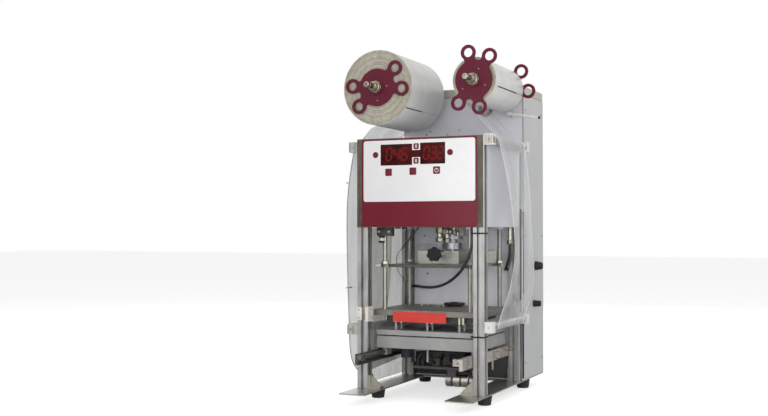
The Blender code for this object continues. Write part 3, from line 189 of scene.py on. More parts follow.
def add_turned(shape, profile, move, steps=32, finish=0):
    """Turns (radius, height) points round local Z; a third number gives that ring so many flats."""
    rings = []
    for radius, height, *flats in profile:
        if radius < 1e-6:
            rings.append([shape.verts.new(move @ Vector((0, 0, height)))] * steps)
            continue
        ring = []
        for step in range(steps):
            angle = 2 * math.pi * step / steps
            reach = radius
            if flats:
                sector = 2 * math.pi / flats[0]
                reach = radius / math.cos((angle + sector / 2) % sector - sector / 2)
            ring.append(shape.verts.new(
                move @ Vector((reach * math.cos(angle), reach * math.sin(angle), height))))
        rings.append(ring)
    for upper, lower in zip(rings, rings[1:]):
        for step in range(steps):
            corners = (upper[step], upper[step - 1], lower[step - 1], lower[step])
            loop = list(dict.fromkeys(corners))
            if len(loop) > 2:
                shape.faces.new(loop).material_index = finish
    top, base = rings[0], rings[-1]
    if top[0] is not top[1] and base[0] is not base[1]:
        for step in range(steps):
            corners = (top[step], top[step - 1], base[step - 1], base[step])
            shape.faces.new(corners).material_index = finish


def add_outline(shape, loops, depth, edge, move, finish=0, rounds=1):
    """Fills a flat outline with holes and gives it a depth with rounded edges."""
    curve = bpy.data.curves.new("outline", "CURVE")
    curve.dimensions = "2D"
    curve.fill_mode = "BOTH"
    curve.extrude = depth / 2 - edge
    curve.bevel_depth = edge
    curve.bevel_resolution = rounds
    curve.offset = -edge
    for loop in loops:
        spline = curve.splines.new("POLY")
        spline.points.add(len(loop) - 1)
        for point, (x, y) in zip(spline.points, loop):
            point.co = (x, y, 0, 1)
        spline.use_cyclic_u = True
    holder = bpy.data.objects.new("outline", curve)
    bpy.context.scene.collection.objects.link(holder)
    bpy.context.view_layer.update()
    mesh = bpy.data.meshes.new_from_object(holder.evaluated_get(bpy.context.evaluated_depsgraph_get()))
    filled = bmesh.new()
    filled.from_mesh(mesh)
    bmesh.ops.remove_doubles(filled, verts=filled.verts, dist=0.0005)
    pour(filled, shape, move @ Matrix.Translation((0, 0, depth / 2)), finish)
    bpy.data.objects.remove(holder, do_unlink=True)
    bpy.data.curves.remove(curve)
    bpy.data.meshes.remove(mesh)


def add_tube(shape, points, radius, sides=12, finish=0):
    """Sweeps a round section along points of the machine, with flat ends."""
    move = spot()
    route = [Vector(point) for point in points]
    last = len(route) - 1
    normal = (route[1] - route[0]).orthogonal().normalized()
    rings = []
    for index, point in enumerate(route):
        ahead = (route[min(index + 1, last)] - route[max(index - 1, 0)]).normalized()
        normal = (normal - ahead * normal.dot(ahead)).normalized()
        aside = ahead.cross(normal)
        angles = [2 * math.pi * side / sides for side in range(sides)]
        rings.append([shape.verts.new(move @ (point + radius * (
            normal * math.cos(angle) + aside * math.sin(angle)))) for angle in angles])
    join_rings(shape, rings, finish)


def join_rings(shape, rings, finish=0):
    """Joins rings of as many points each into a closed solid with flat ends."""
    for near, far in zip(rings, rings[1:]):
        for side in range(len(near)):
            shape.faces.new((near[side], near[side - 1], far[side - 1], far[side])).material_index = finish
    for ring in (rings[0], rings[-1]):
        shape.faces.new(ring).material_index = finish


def add_screw(shape, place, radius, height, finish=0):
    """A cap screw with a hexagon socket, standing on the face it is driven into."""
    socket = radius * 0.42
    add_turned(shape, [
        (0, height * 0.4), (socket, height * 0.4, 6), (socket, height, 6), (radius * 0.86, height),
        (radius, height * 0.75), (radius, 0), (0, 0)], place, 24, finish)


def add_nut(shape, place, bore, reach, height, finish=0):
    """A hexagon nut with chamfered corners round a rod or hose."""
    add_turned(shape, [(bore, 0), (bore, height), (reach * 0.94, height), (reach, height * 0.86, 6),
                       (reach, height * 0.14, 6), (reach * 0.94, 0)], place, 24, finish)


def add_sleeve(shape, place, bore, reach, height, finish=0):
    """A turned sleeve with small chamfers round a rod, pin or hose."""
    add_turned(shape, [(bore, 0), (bore, height), (reach - 0.5, height), (reach, height - 0.5),
                       (reach, 0.5), (reach - 0.5, 0)], place, 24, finish)


def arc(centre, radius, start, end, count):
    """Points on an arc between two angles in degrees, both ends included."""
    angles = [math.radians(start + (end - start) * i / (count - 1)) for i in range(count)]
    return [(centre[0] + radius * math.cos(a), centre[1] + radius * math.sin(a)) for a in angles]


def circle(centre, radius, count):
    """Points round a whole circle, counter-clockwise."""
    return arc(centre, radius, 0, 360 * (count - 1) / count, count)


def rounded_box(low, high, radius, count=6):
    """A rectangle's outline with round corners, counter-clockwise."""
    (x0, y0), (x1, y1) = low, high
    corners = (((x1 - radius, y0 + radius), -90), ((x1 - radius, y1 - radius), 0),
               ((x0 + radius, y1 - radius), 90), ((x0 + radius, y0 + radius), 180))
    return [point for centre, start in corners for point in arc(centre, radius, start, start + 90, count)]


def smooth_path(points, count):
    """Catmull-Rom points through the given ones."""
    chain = [Vector(point) for point in points]
    chain = [chain[0] * 2 - chain[1]] + chain + [chain[-1] * 2 - chain[-2]]
    path = []
    for index in range(1, len(chain) - 2):
        before, start, end, after = chain[index - 1:index + 3]
        for step in range(count):
            t = step / count
            path.append(0.5 * (2 * start + (end - before) * t
                               + (2 * before - 5 * start + 4 * end - after) * t * t
                               + (3 * start - before - 3 * end + after) * t ** 3))
    path.append(chain[-2])
    return path


def make_piece(name, shape, finishes, body="root", replaced=(), sharp=24, closed=True):
    """Turns a shape into a named piece that wears finishes, rides on a body and may stand for nodes."""
    if closed:
        bmesh.ops.recalc_face_normals(shape, faces=shape.faces)
    mesh = bpy.data.meshes.new(name)
    shape.to_mesh(mesh)
    shape.free()
    for finish in finishes.split():
        mesh.materials.append(FINISHES[finish])
    mesh.shade_smooth()
    mesh.set_sharp_from_angle(angle=math.radians(sharp))
    piece = bpy.data.objects.new(name, mesh)
    bpy.context.scene.collection.objects.link(piece)
    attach(piece, body)
    if replaced:
        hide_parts(*replaced)
    return piece


# Finishes
def add(owner, kind, inputs=None, **settings):
    """Adds a shader node with its settings; an input is a value or another node's output."""
    made = owner.node_tree.nodes.new("ShaderNode" + kind)
    for name, value in settings.items():
        setattr(made, name, value)
    for socket, value in (inputs or {}).items():
        if isinstance(value, bpy.types.NodeSocket):
            owner.node_tree.links.new(value, made.inputs[socket])
        else:
            made.inputs[socket].default_value = value
    return made


def maths(owner, operation, *values):
    """The result of a Math node on numbers or other nodes' outputs."""
    return add(owner, "Math", dict(enumerate(values)), operation=operation).outputs["Value"]


def start_finish(name, **values):
    """A new material with set shader sockets; an underscore in a name stands for a space."""
    material = bpy.data.materials.new(name)
    material.use_nodes = True
    for socket, value in values.items():
        material.node_tree.nodes["Principled BSDF"].inputs[socket.replace("_", " ")].default_value = value
    return material


def wire(owner, socket, output, node="Principled BSDF"):
    """Links an output to a socket of the material's shader, or of another named node."""
    owner.node_tree.links.new(output, owner.node_tree.nodes[node].inputs[socket])


def along(material, axis, source="TexCoord", output="Object"):
    """One axis of the shaded point, or of another vector that a node gives."""
    return add(material, "SeparateXYZ", {0: add(material, source).outputs[output]}).outputs[axis]


def grain(material, size, detail=3, distortion=0):
    """A noise with features of that many millimetres, as one number or as three along X, Y and Z."""
    sizes = size if isinstance(size, tuple) else (size,) * 3
    where = add(material, "TexCoord").outputs["Object"]
    scaled = add(material, "Mapping", {"Vector": where, "Scale": [1 / (part * MM) for part in sizes]})
    return add(material, "TexNoise", {"Vector": scaled.outputs["Vector"], "Scale": 1, "Detail": detail,
                                      "Roughness": 0.6, "Distortion": distortion}).outputs["Fac"]


# Where most values lie in one noise, and in the sum of two
ONE_NOISE = (0.3, 0.7)
TWO_NOISES = (0.7, 1.3)


def spread(material, source, low, high, middle=ONE_NOISE):
    """Maps a noise's middle range to low and high numbers."""
    return add(material, "MapRange", {"Value": source, "From Min": middle[0], "From Max": middle[1],
                                      "To Min": low, "To Max": high}).outputs["Result"]


def blend_colours(material, share, first, second):
    """Mixes two colours, given as hex text, as numbers or as outputs, by a share."""
    sides = [rgba(side) if isinstance(side, str) else side for side in (first, second)]
    return add(material, "Mix", {0: share, 6: sides[0], 7: sides[1]}, data_type="RGBA").outputs[2]


def dim(colour, factor):
    """A linear colour made darker or brighter, with full alpha."""
    return [min(1, part * factor) for part in list(colour)[:3]] + [1]


def cloud_over(material, cloud, first, second, rough, middle=ONE_NOISE, skin=None):
    """Two colours and two roughnesses blended by a noise; a skin noise may take the roughness."""
    wire(material, "Base Color", blend_colours(
        material, spread(material, cloud, 0, 1, middle), first, second))
    wire(material, "Roughness", spread(material, cloud if skin is None else skin, *rough, middle))


def add_relief(material, height, depth, strength=1):
    """Raises the surface's look by a noise, at most that many millimetres."""
    bump = add(material, "Bump", {"Height": height, "Distance": depth * MM, "Strength": strength})
    wire(material, "Normal", bump.outputs["Normal"])


def grainy(name, dark, light, rough, size, relief, smudge, metallic=0, specular=0.5):
    """A finish between two colours and two roughnesses, by a fine grain and broad handling marks."""
    material = start_finish(name, Metallic=metallic, Specular_IOR_Level=specular)
    fine = grain(material, size)
    both = maths(material, "ADD", fine, grain(material, smudge, 2, 0.6))
    cloud_over(material, both, dark, light, rough, TWO_NOISES)
    if relief:
        add_relief(material, fine, relief)
    return material


# Finishes made by grainy, with its values in their order
GRAINY = {
    # Drawn aluminium rail: lines along the slide's travel
    "drawn": ("aluminium_drawn", "A09A94", "C8C2BC", (0.28, 0.42), (0.8, 120, 0.8), 0.01, 50, 1),
    # Turned aluminium roller: rings round its axis
    "turned": ("aluminium_turned", "A3A3A0", "CFCFCC", (0.22, 0.36), (30, 0.7, 30), 0.01, 40, 1),
    # Brushed stainless plate: long fine strokes, dulled by hands and dust
    "stainless": ("stainless_brushed", "94918A", "B0ADA4", (0.28, 0.42), (0.9, 140, 0.9), 0.01, 60, 1),
    # Tool steel that was heated often: brown-grey, dull and mottled; on the left drawer rod the same dark
    # colour is painted shade
    "heated": ("tool_steel_heat_browned_and_painted_shade", "4F4E49", "75736C", (0.42, 0.62), 3, 0.02, 35, 0.7),
    # Painted steel of the drive and the fittings: near-black, dusty; the same near-black is also painted
    # shade on the left drawer rail, on the sheet in the cabinet's opening and in the drive cylinder's grooves
    "shade": ("black_steel_and_painted_shade", "2B2B29", "42423D", (0.45, 0.62), 3, 0.02, 30),
    # Cast and ground mould plates: even matt grey with a soft cloud
    "mould": ("aluminium_cast_ground", "8D8D8C", "A3A3A2", (0.42, 0.55), 1.4, 0.012, 70, 0.35),
    # Drawn air cylinder barrel: lilac-grey anodising with a soft sheen
    "barrel": ("aluminium_anodised_drawn", "7E7D82", "A2A1A6", (0.24, 0.36), (1, 1, 90), 0, 40, 0.9),
    # Satin stainless panel tray: brown-grey with upright clouds, a painted reflection of dark surroundings
    "tray": ("stainless_satin_painted_dark_reflection", "3D372C", "625C50", (0.38, 0.5), (12, 12, 70), 0, 55, 0.55),
    # Ground and polished steel: clean and bright with a faint grain
    "polished": ("steel_ground_polished", "9A968B", "BEBAAF", (0.22, 0.34), 1, 0, 30, 1),
    # Zinc-plated steel screws: bright with a slight yellow
    "zinc": ("steel_zinc_plated", "908D82", "BDB9AB", (0.25, 0.4), 1.5, 0, 20, 1),
    # Nickel-plated brass fittings: warm grey-gold
    "brass": ("brass_nickel_plated", "6B675B", "9E9888", (0.22, 0.38), 2, 0, 18, 1),
    # Turned shaft ends: dull khaki steel with a fine grain
    "shaft": ("steel_turned_dull", "6D6A5D", "A39F90", (0.2, 0.34), 1.2, 0, 12, 1),
    # Powder coats on sheet steel, three shades: matt sheen with a fine orange-peel skin of about 1 mm
    "lilac": ("powder_coat_pale_grey", "C6C6CD", "D4D4DA", (0.42, 0.55), 1.1, 0.05, 120),
    "grey": ("powder_coat_light_grey", "B4B5B6", "C0C1C1", (0.42, 0.55), 1.1, 0.05, 120),
    "beige": ("powder_coat_warm_grey", "AEABA0", "BBB8AD", (0.42, 0.55), 1.1, 0.05, 120),
    # The cabinet front's powder coat, the same as the palest, which is brightened below the housing floor as
    # painted light
    "coat_lit_below_housing": ("powder_coat_with_painted_light", "C6C6CD", "D4D4DA", (0.42, 0.55), 1.1, 0.05, 120),
    # Turned acetal: milky white, slightly waxy
    "acetal": ("acetal_white_machined", "C9C8C2", "E0DFDA", (0.36, 0.48), 1, 0.01, 25),
    # Moulded nitrile rubber: matt, dusty black
    "rubber": ("rubber_moulded_black", "1F2123", "323639", (0.68, 0.85), 1.2, 0.05, 22),
    # Moulded glass-filled nylon: dark with a fine sparked skin and little shine
    "nylon": ("nylon_moulded_black", "151617", "26282A", (0.5, 0.65), 0.6, 0.03, 20, 0, 0.25),
    # Folded film lip: the doubled edge is nearly opaque, and its pale colour is partly a painted highlight
    # where the edge catches the light
    "lip": ("polypropylene_film_doubled_and_highlight", "D2D3DA", "E6E7EC", (0.2, 0.35), (6, 4, 60), 0, 40),
    # Registration marks: dense black ink, and a thinner grey rule
    "ink": ("ink_printed_black", "141414", "232323", (0.35, 0.5), 1, 0, 10),
    "rule": ("ink_printed_grey", "77777A", "8C8C90", (0.35, 0.5), 1, 0, 10),
    # Vinyl safety strip, left bare: saturated red with a soft gloss
    "red": ("vinyl_strip_red", "C62F28", "D23830", (0.3, 0.42), 1, 0.01, 30),
    # Grey polyurethane of the valve and the brackets' ribs: dull, a little cloudy
    "thin_hose": ("polyurethane_hose_grey", "6E6E69", "8F8F89", (0.25, 0.4), 4, 0, 20),
}
FINISHES = {}


def make_post():
    """Extruded and anodised aluminium with die lines up the post; its roller blocks are white acetal, the
    left ones painted darker as shade.
    """
    post = start_finish("anodised_aluminium_extruded")
    lines = grain(post, (0.8, 0.8, 260), 2)
    both = maths(post, "ADD", lines, grain(post, (30, 30, 90), 2))
    metal = blend_colours(post, spread(post, both, 0, 1, TWO_NOISES), "8C8C8A", "BABAB9")
    aside = maths(post, "ADD", along(post, "X"), -ORIGIN.x)
    block = maths(post, "GREATER_THAN", maths(post, "ABSOLUTE", aside), (POST_X + POST_HALF + 0.15) * MM)
    # The left side's acetal blocks are greyer than the right side's: painted shade
    acetal_lit_and_shaded = blend_colours(post, maths(post, "GREATER_THAN", aside, 0), "ACACA4", "D9D8D2")
    wire(post, "Base Color", blend_colours(post, block, metal, acetal_lit_and_shaded))
    wire(post, "Metallic", maths(post, "MULTIPLY_ADD", block, -0.75, 0.75))
    rough = spread(post, both, 0.26, 0.4, TWO_NOISES)
    wire(post, "Roughness", maths(post, "MULTIPLY_ADD", block, 0.15, rough))
    add_relief(post, lines, 0.02)
    return post


def make_head():
    """Seal head: dark heater plate, heat-browned head plate, and ground columns above it."""
    head = start_finish("tool_steel_and_ground_columns")
    both = maths(head, "ADD", grain(head, 3), grain(head, (40, 40, 25), 2, 0.6))
    tone = spread(head, both, 0, 1, TWO_NOISES)
    height = along(head, "Z")
    on_plate = maths(head, "GREATER_THAN", height, HEATER_TOP * MM)
    on_column = maths(head, "GREATER_THAN", height, HEAD_TOP * MM)
    heater, plate, column = [blend_colours(head, tone, dark, light) for dark, light in (
        ("33322F", "4A4945"), ("6B6962", "8A8880"), ("7E7C75", "9C9A93"))]
    wire(head, "Base Color", blend_colours(
        head, on_column, blend_colours(head, on_plate, heater, plate), column))
    wire(head, "Metallic", maths(head, "MULTIPLY_ADD", on_column, 0.45, 0.55))
    rough = spread(head, both, 0.42, 0.58, TWO_NOISES)
    wire(head, "Roughness", maths(head, "MULTIPLY_ADD", on_column, -0.12, rough))
    return head


def make_crosshead():
    """Crosshead plate: milled faces, darker on its front-facing faces below the tie height."""
    cross = start_finish("aluminium_milled_dark_front_edge", Metallic=0.85)
    both = maths(cross, "ADD", grain(cross, (40, 0.9, 0.9)), grain(cross, (50, 50, 30), 2, 0.6))
    tone = spread(cross, both, 0, 1, TWO_NOISES)
    to_front = maths(cross, "LESS_THAN", along(cross, "Y", "NewGeometry", "Normal"), -0.6)
    low = maths(cross, "LESS_THAN", along(cross, "Z"), TIE_TOP * MM)
    wire(cross, "Base Color", blend_colours(
        cross, maths(cross, "MULTIPLY", to_front, low), blend_colours(cross, tone, "999A94", "B8B9B4"),
        blend_colours(cross, tone, "4A4A43", "5E5E56")))
    wire(cross, "Roughness", spread(cross, both, 0.32, 0.5, TWO_NOISES))
    return cross


def make_painted_light_below_housing(coat_lit_below_housing):
    """Brightens the cabinet front's coat below the housing floor, behind the press, as painted light for the
    light that the housing shades off.
    """
    coat = coat_lit_below_housing.node_tree.nodes["Principled BSDF"].inputs["Base Color"].links[0].from_socket
    # Below the housing floor the coat turns near-white: painted light in the housing's shade
    under = maths(coat_lit_below_housing, "LESS_THAN", along(coat_lit_below_housing, "Z"), FLOOR_Z * MM)
    cloud = spread(coat_lit_below_housing, grain(coat_lit_below_housing, (25, 25, 140)), 0, 1)
    wire(coat_lit_below_housing, "Base Color", blend_colours(
        coat_lit_below_housing, under, coat, blend_colours(coat_lit_below_housing, cloud, "E9E9F3", "F6F6FC")))


# Width of one soft band on a wound roll's side, in millimetres
BAND_SIZE = 3.4


def make_wound():
    """Side of the wound roll: bands of film edges round each roll's own axis, khaki and cream."""
    wound = start_finish("polypropylene_film_edges")
    distances = []
    for x, z, _ in (SUPPLY, TAKEUP):
        centre = at(x, 0, z)
        squares = [maths(wound, "POWER", maths(wound, "SUBTRACT", along(wound, axis), middle), 2)
                   for axis, middle in (("X", centre.x), ("Z", centre.z))]
        distances.append(maths(wound, "SQRT", maths(wound, "ADD", *squares)))
    patches = grain(wound, 16, 3, 0.8)
    wobble = maths(wound, "MULTIPLY_ADD", patches, 0.007, maths(wound, "MINIMUM", *distances))
    rings = add(wound, "CombineXYZ", {"X": wobble}).outputs[0]
    bands = add(wound, "TexNoise", {"Vector": rings, "Scale": 1 / (BAND_SIZE * MM), "Detail": 3})
    bands = bands.outputs["Fac"]
    tone = maths(wound, "MULTIPLY_ADD", patches, 0.35, bands)
    wire(wound, "Base Color", blend_colours(
        wound, spread(wound, tone, 0, 1, (0.52, 0.84)), "7F7A69", "BCB8AA"))
    wire(wound, "Roughness", spread(wound, tone, 0.5, 0.7, (0.5, 0.86)))
    add_relief(wound, bands, 0.25, 0.7)
    return wound


def make_finishes():
    """All finishes, each named for its real material and how its surface was made; some names also say the
    painted light and shade they carry.
    """
    scene = bpy.context.scene
    made = FINISHES
    for key, values in GRAINY.items():
        made[key] = grainy(*values)
    make_painted_light_below_housing(made["coat_lit_below_housing"])
    made.update(post=make_post(), head=make_head(), crosshead=make_crosshead(), wound=make_wound())
    # Laser-cut cast acrylic: deep burgundy gloss with faint swirls
    hub = made["hub"] = start_finish("acrylic_cast_burgundy", Specular_IOR_Level=0.22)
    colour = list(scene.sealer_reels.hub_colour)
    cloud_over(hub, grain(hub, 9, 3, 1), dim(colour, 0.82), colour, (0.34, 0.5))
    # Printed polycarbonate overlay: even ink under a fine satin texture
    overlay = made["overlay"] = start_finish("polycarbonate_printed_burgundy", Specular_IOR_Level=0.2)
    ink = list(scene.sealer_panel.film_colour)
    skin = grain(overlay, 0.8)
    cloud_over(overlay, grain(overlay, 70, 2), ink, dim(ink, 1.12), (0.34, 0.46), skin=skin)
    add_relief(overlay, skin, 0.02)
    # The overlay's pale field: clean print with the same satin skin
    field = made["field"] = start_finish("polycarbonate_printed_white")
    pale = list(scene.sealer_panel.field_colour)
    cloud_over(field, grain(field, 90, 2), dim(pale, 0.94), pale, (0.36, 0.5), skin=grain(field, 0.8))
    # Smoked display window: near-black red, glossy, a little lighter in its middle
    glass = made["glass"] = start_finish("acrylic_smoked_red", Specular_IOR_Level=0.1)
    cloud_over(glass, grain(glass, (34, 34, 22), 1), "1E0405", "4A0B0C", (0.3, 0.42))
    # Display segments: dim red light behind the smoked window
    made["glow"] = start_finish(
        "led_segment_red", Base_Color=rgba("3A0A0A"), Roughness=0.5, Specular_IOR_Level=0.1,
        Emission_Color=list(scene.sealer_panel.glow_colour), Emission_Strength=0.7)
    # Outside of the roll: glossy film over many layers, with pale lengthwise shading
    roll = made["roll"] = start_finish("polypropylene_film_wound", Specular_IOR_Level=0.3)
    both = maths(roll, "ADD", grain(roll, (30, 900, 30), 0), grain(roll, (90, 60, 90), 1))
    cloud_over(roll, both, "C6C6C4", "D4D4D2", (0.42, 0.47), TWO_NOISES)
    # Cast polypropylene film: milky and see-through, with lengthwise creases; denser over the supply roller,
    # where its colour is also dimmed as painted shade
    for key, low, high, shade_dimming in (("web", 0.5, 0.64, 0.8), ("web_thin", 0.36, 0.5, 1)):
        web = made[key] = start_finish("polypropylene_film_" + key, IOR=1.49)
        both = maths(web, "ADD", grain(web, (90, 30, 420), 1), grain(web, (90, 60, 140), 1))
        base = dim(scene.sealer_films.film_colour, shade_dimming)
        wire(web, "Base Color", blend_colours(
            web, spread(web, both, 0, 1, (0.8, 1.35)), base, dim(base, 1.25)))
        wire(web, "Alpha", spread(web, both, low, high, (0.75, 1.25)))
        wire(web, "Roughness", spread(web, both, 0.3, 0.4, (0.75, 1.25)))
    # Clear side guard: scuffed polycarbonate that reads as a milky khaki veil
    guard = made["guard"] = start_finish("polycarbonate_sheet_scuffed", IOR=1.58)
    veil = grain(guard, (60, 30, 120), 3, 0.4)
    cloud_over(guard, veil, "D6D9CE", "E6E8E0", (0.25, 0.45))
    wire(guard, "Alpha", spread(guard, veil, 0.4, 0.52))
    # Extruded polyurethane hose: smooth and slightly glossy
    hose = made["hose"] = start_finish("polyurethane_hose_black")
    dark = list(scene.sealer_hoses.hose_colour)
    cloud_over(hose, grain(hose, 6), dark, dim(dark, 1.7), (0.26, 0.4))


# The solids that wear each finish
NODE_FINISHES = {
    "stainless": "base_plate",
    "rubber": "foot_front_left foot_front_right foot_rear_left foot_rear_right mould_bumper",
    "post": "post_front_left post_front_right post_rear_left post_rear_right",
    "tray": "control_panel_box", "overlay": "panel_overlay", "lilac": "housing_cover housing_floor",
    "coat_lit_below_housing": "cabinet_front", "grey": "cabinet_body", "beige": "cabinet_cap",
    "nylon": "side_knob_upper side_knob_lower star_knob", "acetal": "film_guard_rod",
    "roll": "supply_roll takeup_roll", "shaft": "supply_shaft takeup_shaft",
    "hub": "supply_hub_front supply_hub_rear takeup_hub_front takeup_hub_rear",
    "turned": "guide_roller_upper_left guide_roller_upper_right "
              "guide_roller_lower_left guide_roller_lower_right",
    # The left drawer rail and rod wear darker finishes than their twins on the right: painted shade of their
    # shaded inner side, partly a black liner in the rail's groove
    "web": "film_web_supply film_web_takeup", "shade": "drawer_rail_left drive_platform",
    "drawn": "drawer_rail_right", "heated": "drawer_rod_left",
    "polished": "drawer_rod_right press_rod drive_cylinder", "mould": "mould_base mould_top",
    "head": "seal_head", "red": "red_strip", "crosshead": "crosshead", "barrel": "press_cylinder",
    "hose": "hose_front hose_right",
}


class SEALER_OT_finish_frame(bpy.types.Operator):
    """Gives every solid of the machine's frame its finish"""
    bl_idname = "sealer.finish_frame"
    bl_label = "Frame finishes"

    def execute(self, context):
        make_finishes()
        for finish, names in NODE_FINISHES.items():
            for name in names.split():
                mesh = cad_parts[name].data
                if not mesh.materials:
                    mesh.materials.append(FINISHES[finish])
                for index in range(len(mesh.materials)):
                    mesh.materials[index] = FINISHES[finish]
        return {"FINISHED"}


# Control panel
SEGMENTS = {"0": "abcdef", "1": "bc", "2": "abdeg", "3": "abcdg", "4": "bcfg", "5": "acdfg", "6": "acdefg",
            "7": "abc", "8": "abcdefg", "9": "abcdfg"}


def segment_outlines(digit, left, bottom, height, width):
    """Slanted six-sided bars of one seven-segment digit."""
    half = height * 0.075
    slant = 0.13
    gap = height * 0.018
    ends = {
        "a": ((0, 1), (1, 1)), "g": ((0, 0.5), (1, 0.5)), "d": ((0, 0), (1, 0)), "f": ((0, 0.5), (0, 1)),
        "b": ((1, 0.5), (1, 1)), "e": ((0, 0), (0, 0.5)), "c": ((1, 0), (1, 0.5))}
    outlines = []
    for letter in SEGMENTS[digit]:
        (u0, v0), (u1, v1) = ends[letter]
        start = Vector((u0 * width, v0 * height))
        end = Vector((u1 * width, v1 * height))
        ahead = (end - start).normalized()
        across = Vector((-ahead.y, ahead.x))
        start += ahead * gap
        end -= ahead * gap
        bar = [start, start + (ahead - across) * half, end - (ahead + across) * half, end,
               end + (across - ahead) * half, start + (ahead + across) * half]
        outlines.append([(left + point.x + slant * point.y, bottom + point.y) for point in bar])
    return outlines


class SEALER_OT_control_panel(bpy.types.Operator):
    """Builds the printed overlay with its displays, lamps and membrane buttons"""
    bl_idname = "sealer.control_panel"
    bl_label = "Control panel"

    def execute(self, context):
        settings = context.scene.sealer_panel
        face = spot(0, PANEL_FACE_Y, 0, "front")
        overlay_top, field_top, window_top, button_top = 0.4, 0.5, 0.64, 1.04

        def lifted(depth):
            return face @ Matrix.Translation((0, 0, depth))

        overlay = bmesh.new()
        add_outline(overlay, [rounded_box((-164, 466.5), (164, 699), 6)], overlay_top, 0.1, face)
        make_piece("overlay_film", overlay, "overlay", replaced=["panel_overlay"])
        field = bmesh.new()
        add_outline(field, [rounded_box((-158.3, 532.8), (158.3, 695.2), 6.5)], 0.10, 0.03,
                    lifted(overlay_top))
        make_piece("overlay_field", field, "field")

        screen = bmesh.new()
        outline = [(-108.1, 628.6), (-17, 628.6), (-17, 648.5), (5.8, 648.5), (5.8, 630), (76, 630),
                   (76, 686.2), (5.8, 686.2), (5.8, 667.5), (-17, 667.5), (-17, 684.6), (-108.1, 684.6)]
        add_outline(screen, [outline], 0.14, 0.04, lifted(field_top))
        make_piece("display_window", screen, "glass")
        height = settings.digit_height / MM
        digits = bmesh.new()
        for text, left, bottom, step, width in (
                (settings.left_digits, -93, 642, 0.70, 0.48),
                (settings.right_digits, 14.5, 643.2, 0.63, 0.44)):
            for index, digit in enumerate(text):
                start = left + index * height * step
                for bar in segment_outlines(digit, start, bottom, height, height * width):
                    add_outline(digits, [bar], 0.06, 0.015, lifted(window_top))
        make_piece("display_digits", digits, "glow")

        half = settings.button_size / MM / 2
        buttons = bmesh.new()
        for x, z, reach, icon in (
                (-84.8, 610.6, half, ""), (-14.8, 612, half, ""), (52.1, 613.3, half, "ring"),
                (-5.4, 677.4, 7.6, "oval"), (-5.6, 639.2, 7.6, "oval")):
            side = rounded_box((x - reach, z - reach), (x + reach, z + reach), 3)
            add_outline(buttons, [side], 0.55, 0.25, lifted(field_top))
            if icon == "ring":
                ring = [circle((x, z), 5.6, 28), circle((x, z), 4.3, 28)]
                bar = rounded_box((x - 0.7, z + 1), (x + 0.7, z + 5), 0.6, 3)
                add_outline(buttons, ring, 0.08, 0.02, lifted(button_top), 1)
                add_outline(buttons, [bar], 0.1, 0.02, lifted(button_top + 0.02), 1)
            if icon == "oval":
                oval = [rounded_box((x - wide, z - high), (x + wide, z + high), radius)
                        for wide, high, radius in ((2.6, 4.2, 2.5), (1.2, 2.8, 1.1))]
                add_outline(buttons, oval, 0.08, 0.02, lifted(button_top), 1)
        make_piece("membrane_buttons", buttons, "overlay field")
        lamps = bmesh.new()
        for x, z in ((-122.9, 657.5), (89.7, 659)):
            add_turned(lamps, [(0, 1), (3.4, 0.9), (3.9, 0.55), (7.4, 0.5), (8.2, 0.3), (8.2, 0),
                               (0, 0)], lifted(field_top) @ Matrix.Translation((x, z, 0)), 32)
        make_piece("indicator_lamps", lamps, "overlay")
        return {"FINISHED"}


# Reels
def hub_loops(ear_radius, ear_hole):
    """Disc with four ring ears in two opposite pairs, and the ears' holes."""
    disc = 51
    reach = 73
    neck_half = 13
    pair_half = 24
    neck = math.degrees(math.asin(neck_half / disc))
    mouth = math.degrees(math.asin(neck_half / ear_radius))
    ears = [-pair_half, pair_half, 180 - pair_half, 180 + pair_half]
    outline = []
    holes = []
    for index, angle in enumerate(ears):
        turn = math.radians(angle)
        centre = (reach * math.cos(turn), reach * math.sin(turn))
        outline += arc(centre, ear_radius, angle - 180 + mouth, angle + 180 - mouth, 30)
        following = ears[(index + 1) % 4]
        if following < angle:
            following += 360
        outline += arc((0, 0), disc, angle + neck, following - neck, 4 if index % 2 == 0 else 26)
        holes.append(circle(centre, ear_hole, 30)[::-1])
    return [soften(outline, 2)] + holes


def soften(loop, passes):
    """Rounds the corners of a closed outline a little by averaging its points."""
    points = [Vector(point) for point in loop]
    for _ in range(passes):
        points = [points[i] * 0.5 + (points[i - 1] + points[(i + 1) % len(points)]) * 0.25
                  for i in range(len(points))]
    return [tuple(point) for point in points]


# How far a band of wound film may lie behind the roll's end, in millimetres
BAND_INSET = 0.55
# Dots on a hub plate, dark ones at its holes and zinc ones as painted glints: the angle round it, how far
# out, and which finish
HUB_HOLE_AND_GLINT_DOTS = ((12, 40, 1), (75, 31, 1), (140, 38, 2), (198, 42, 1), (255, 36, 2), (310, 41, 1), (345, 30, 2))


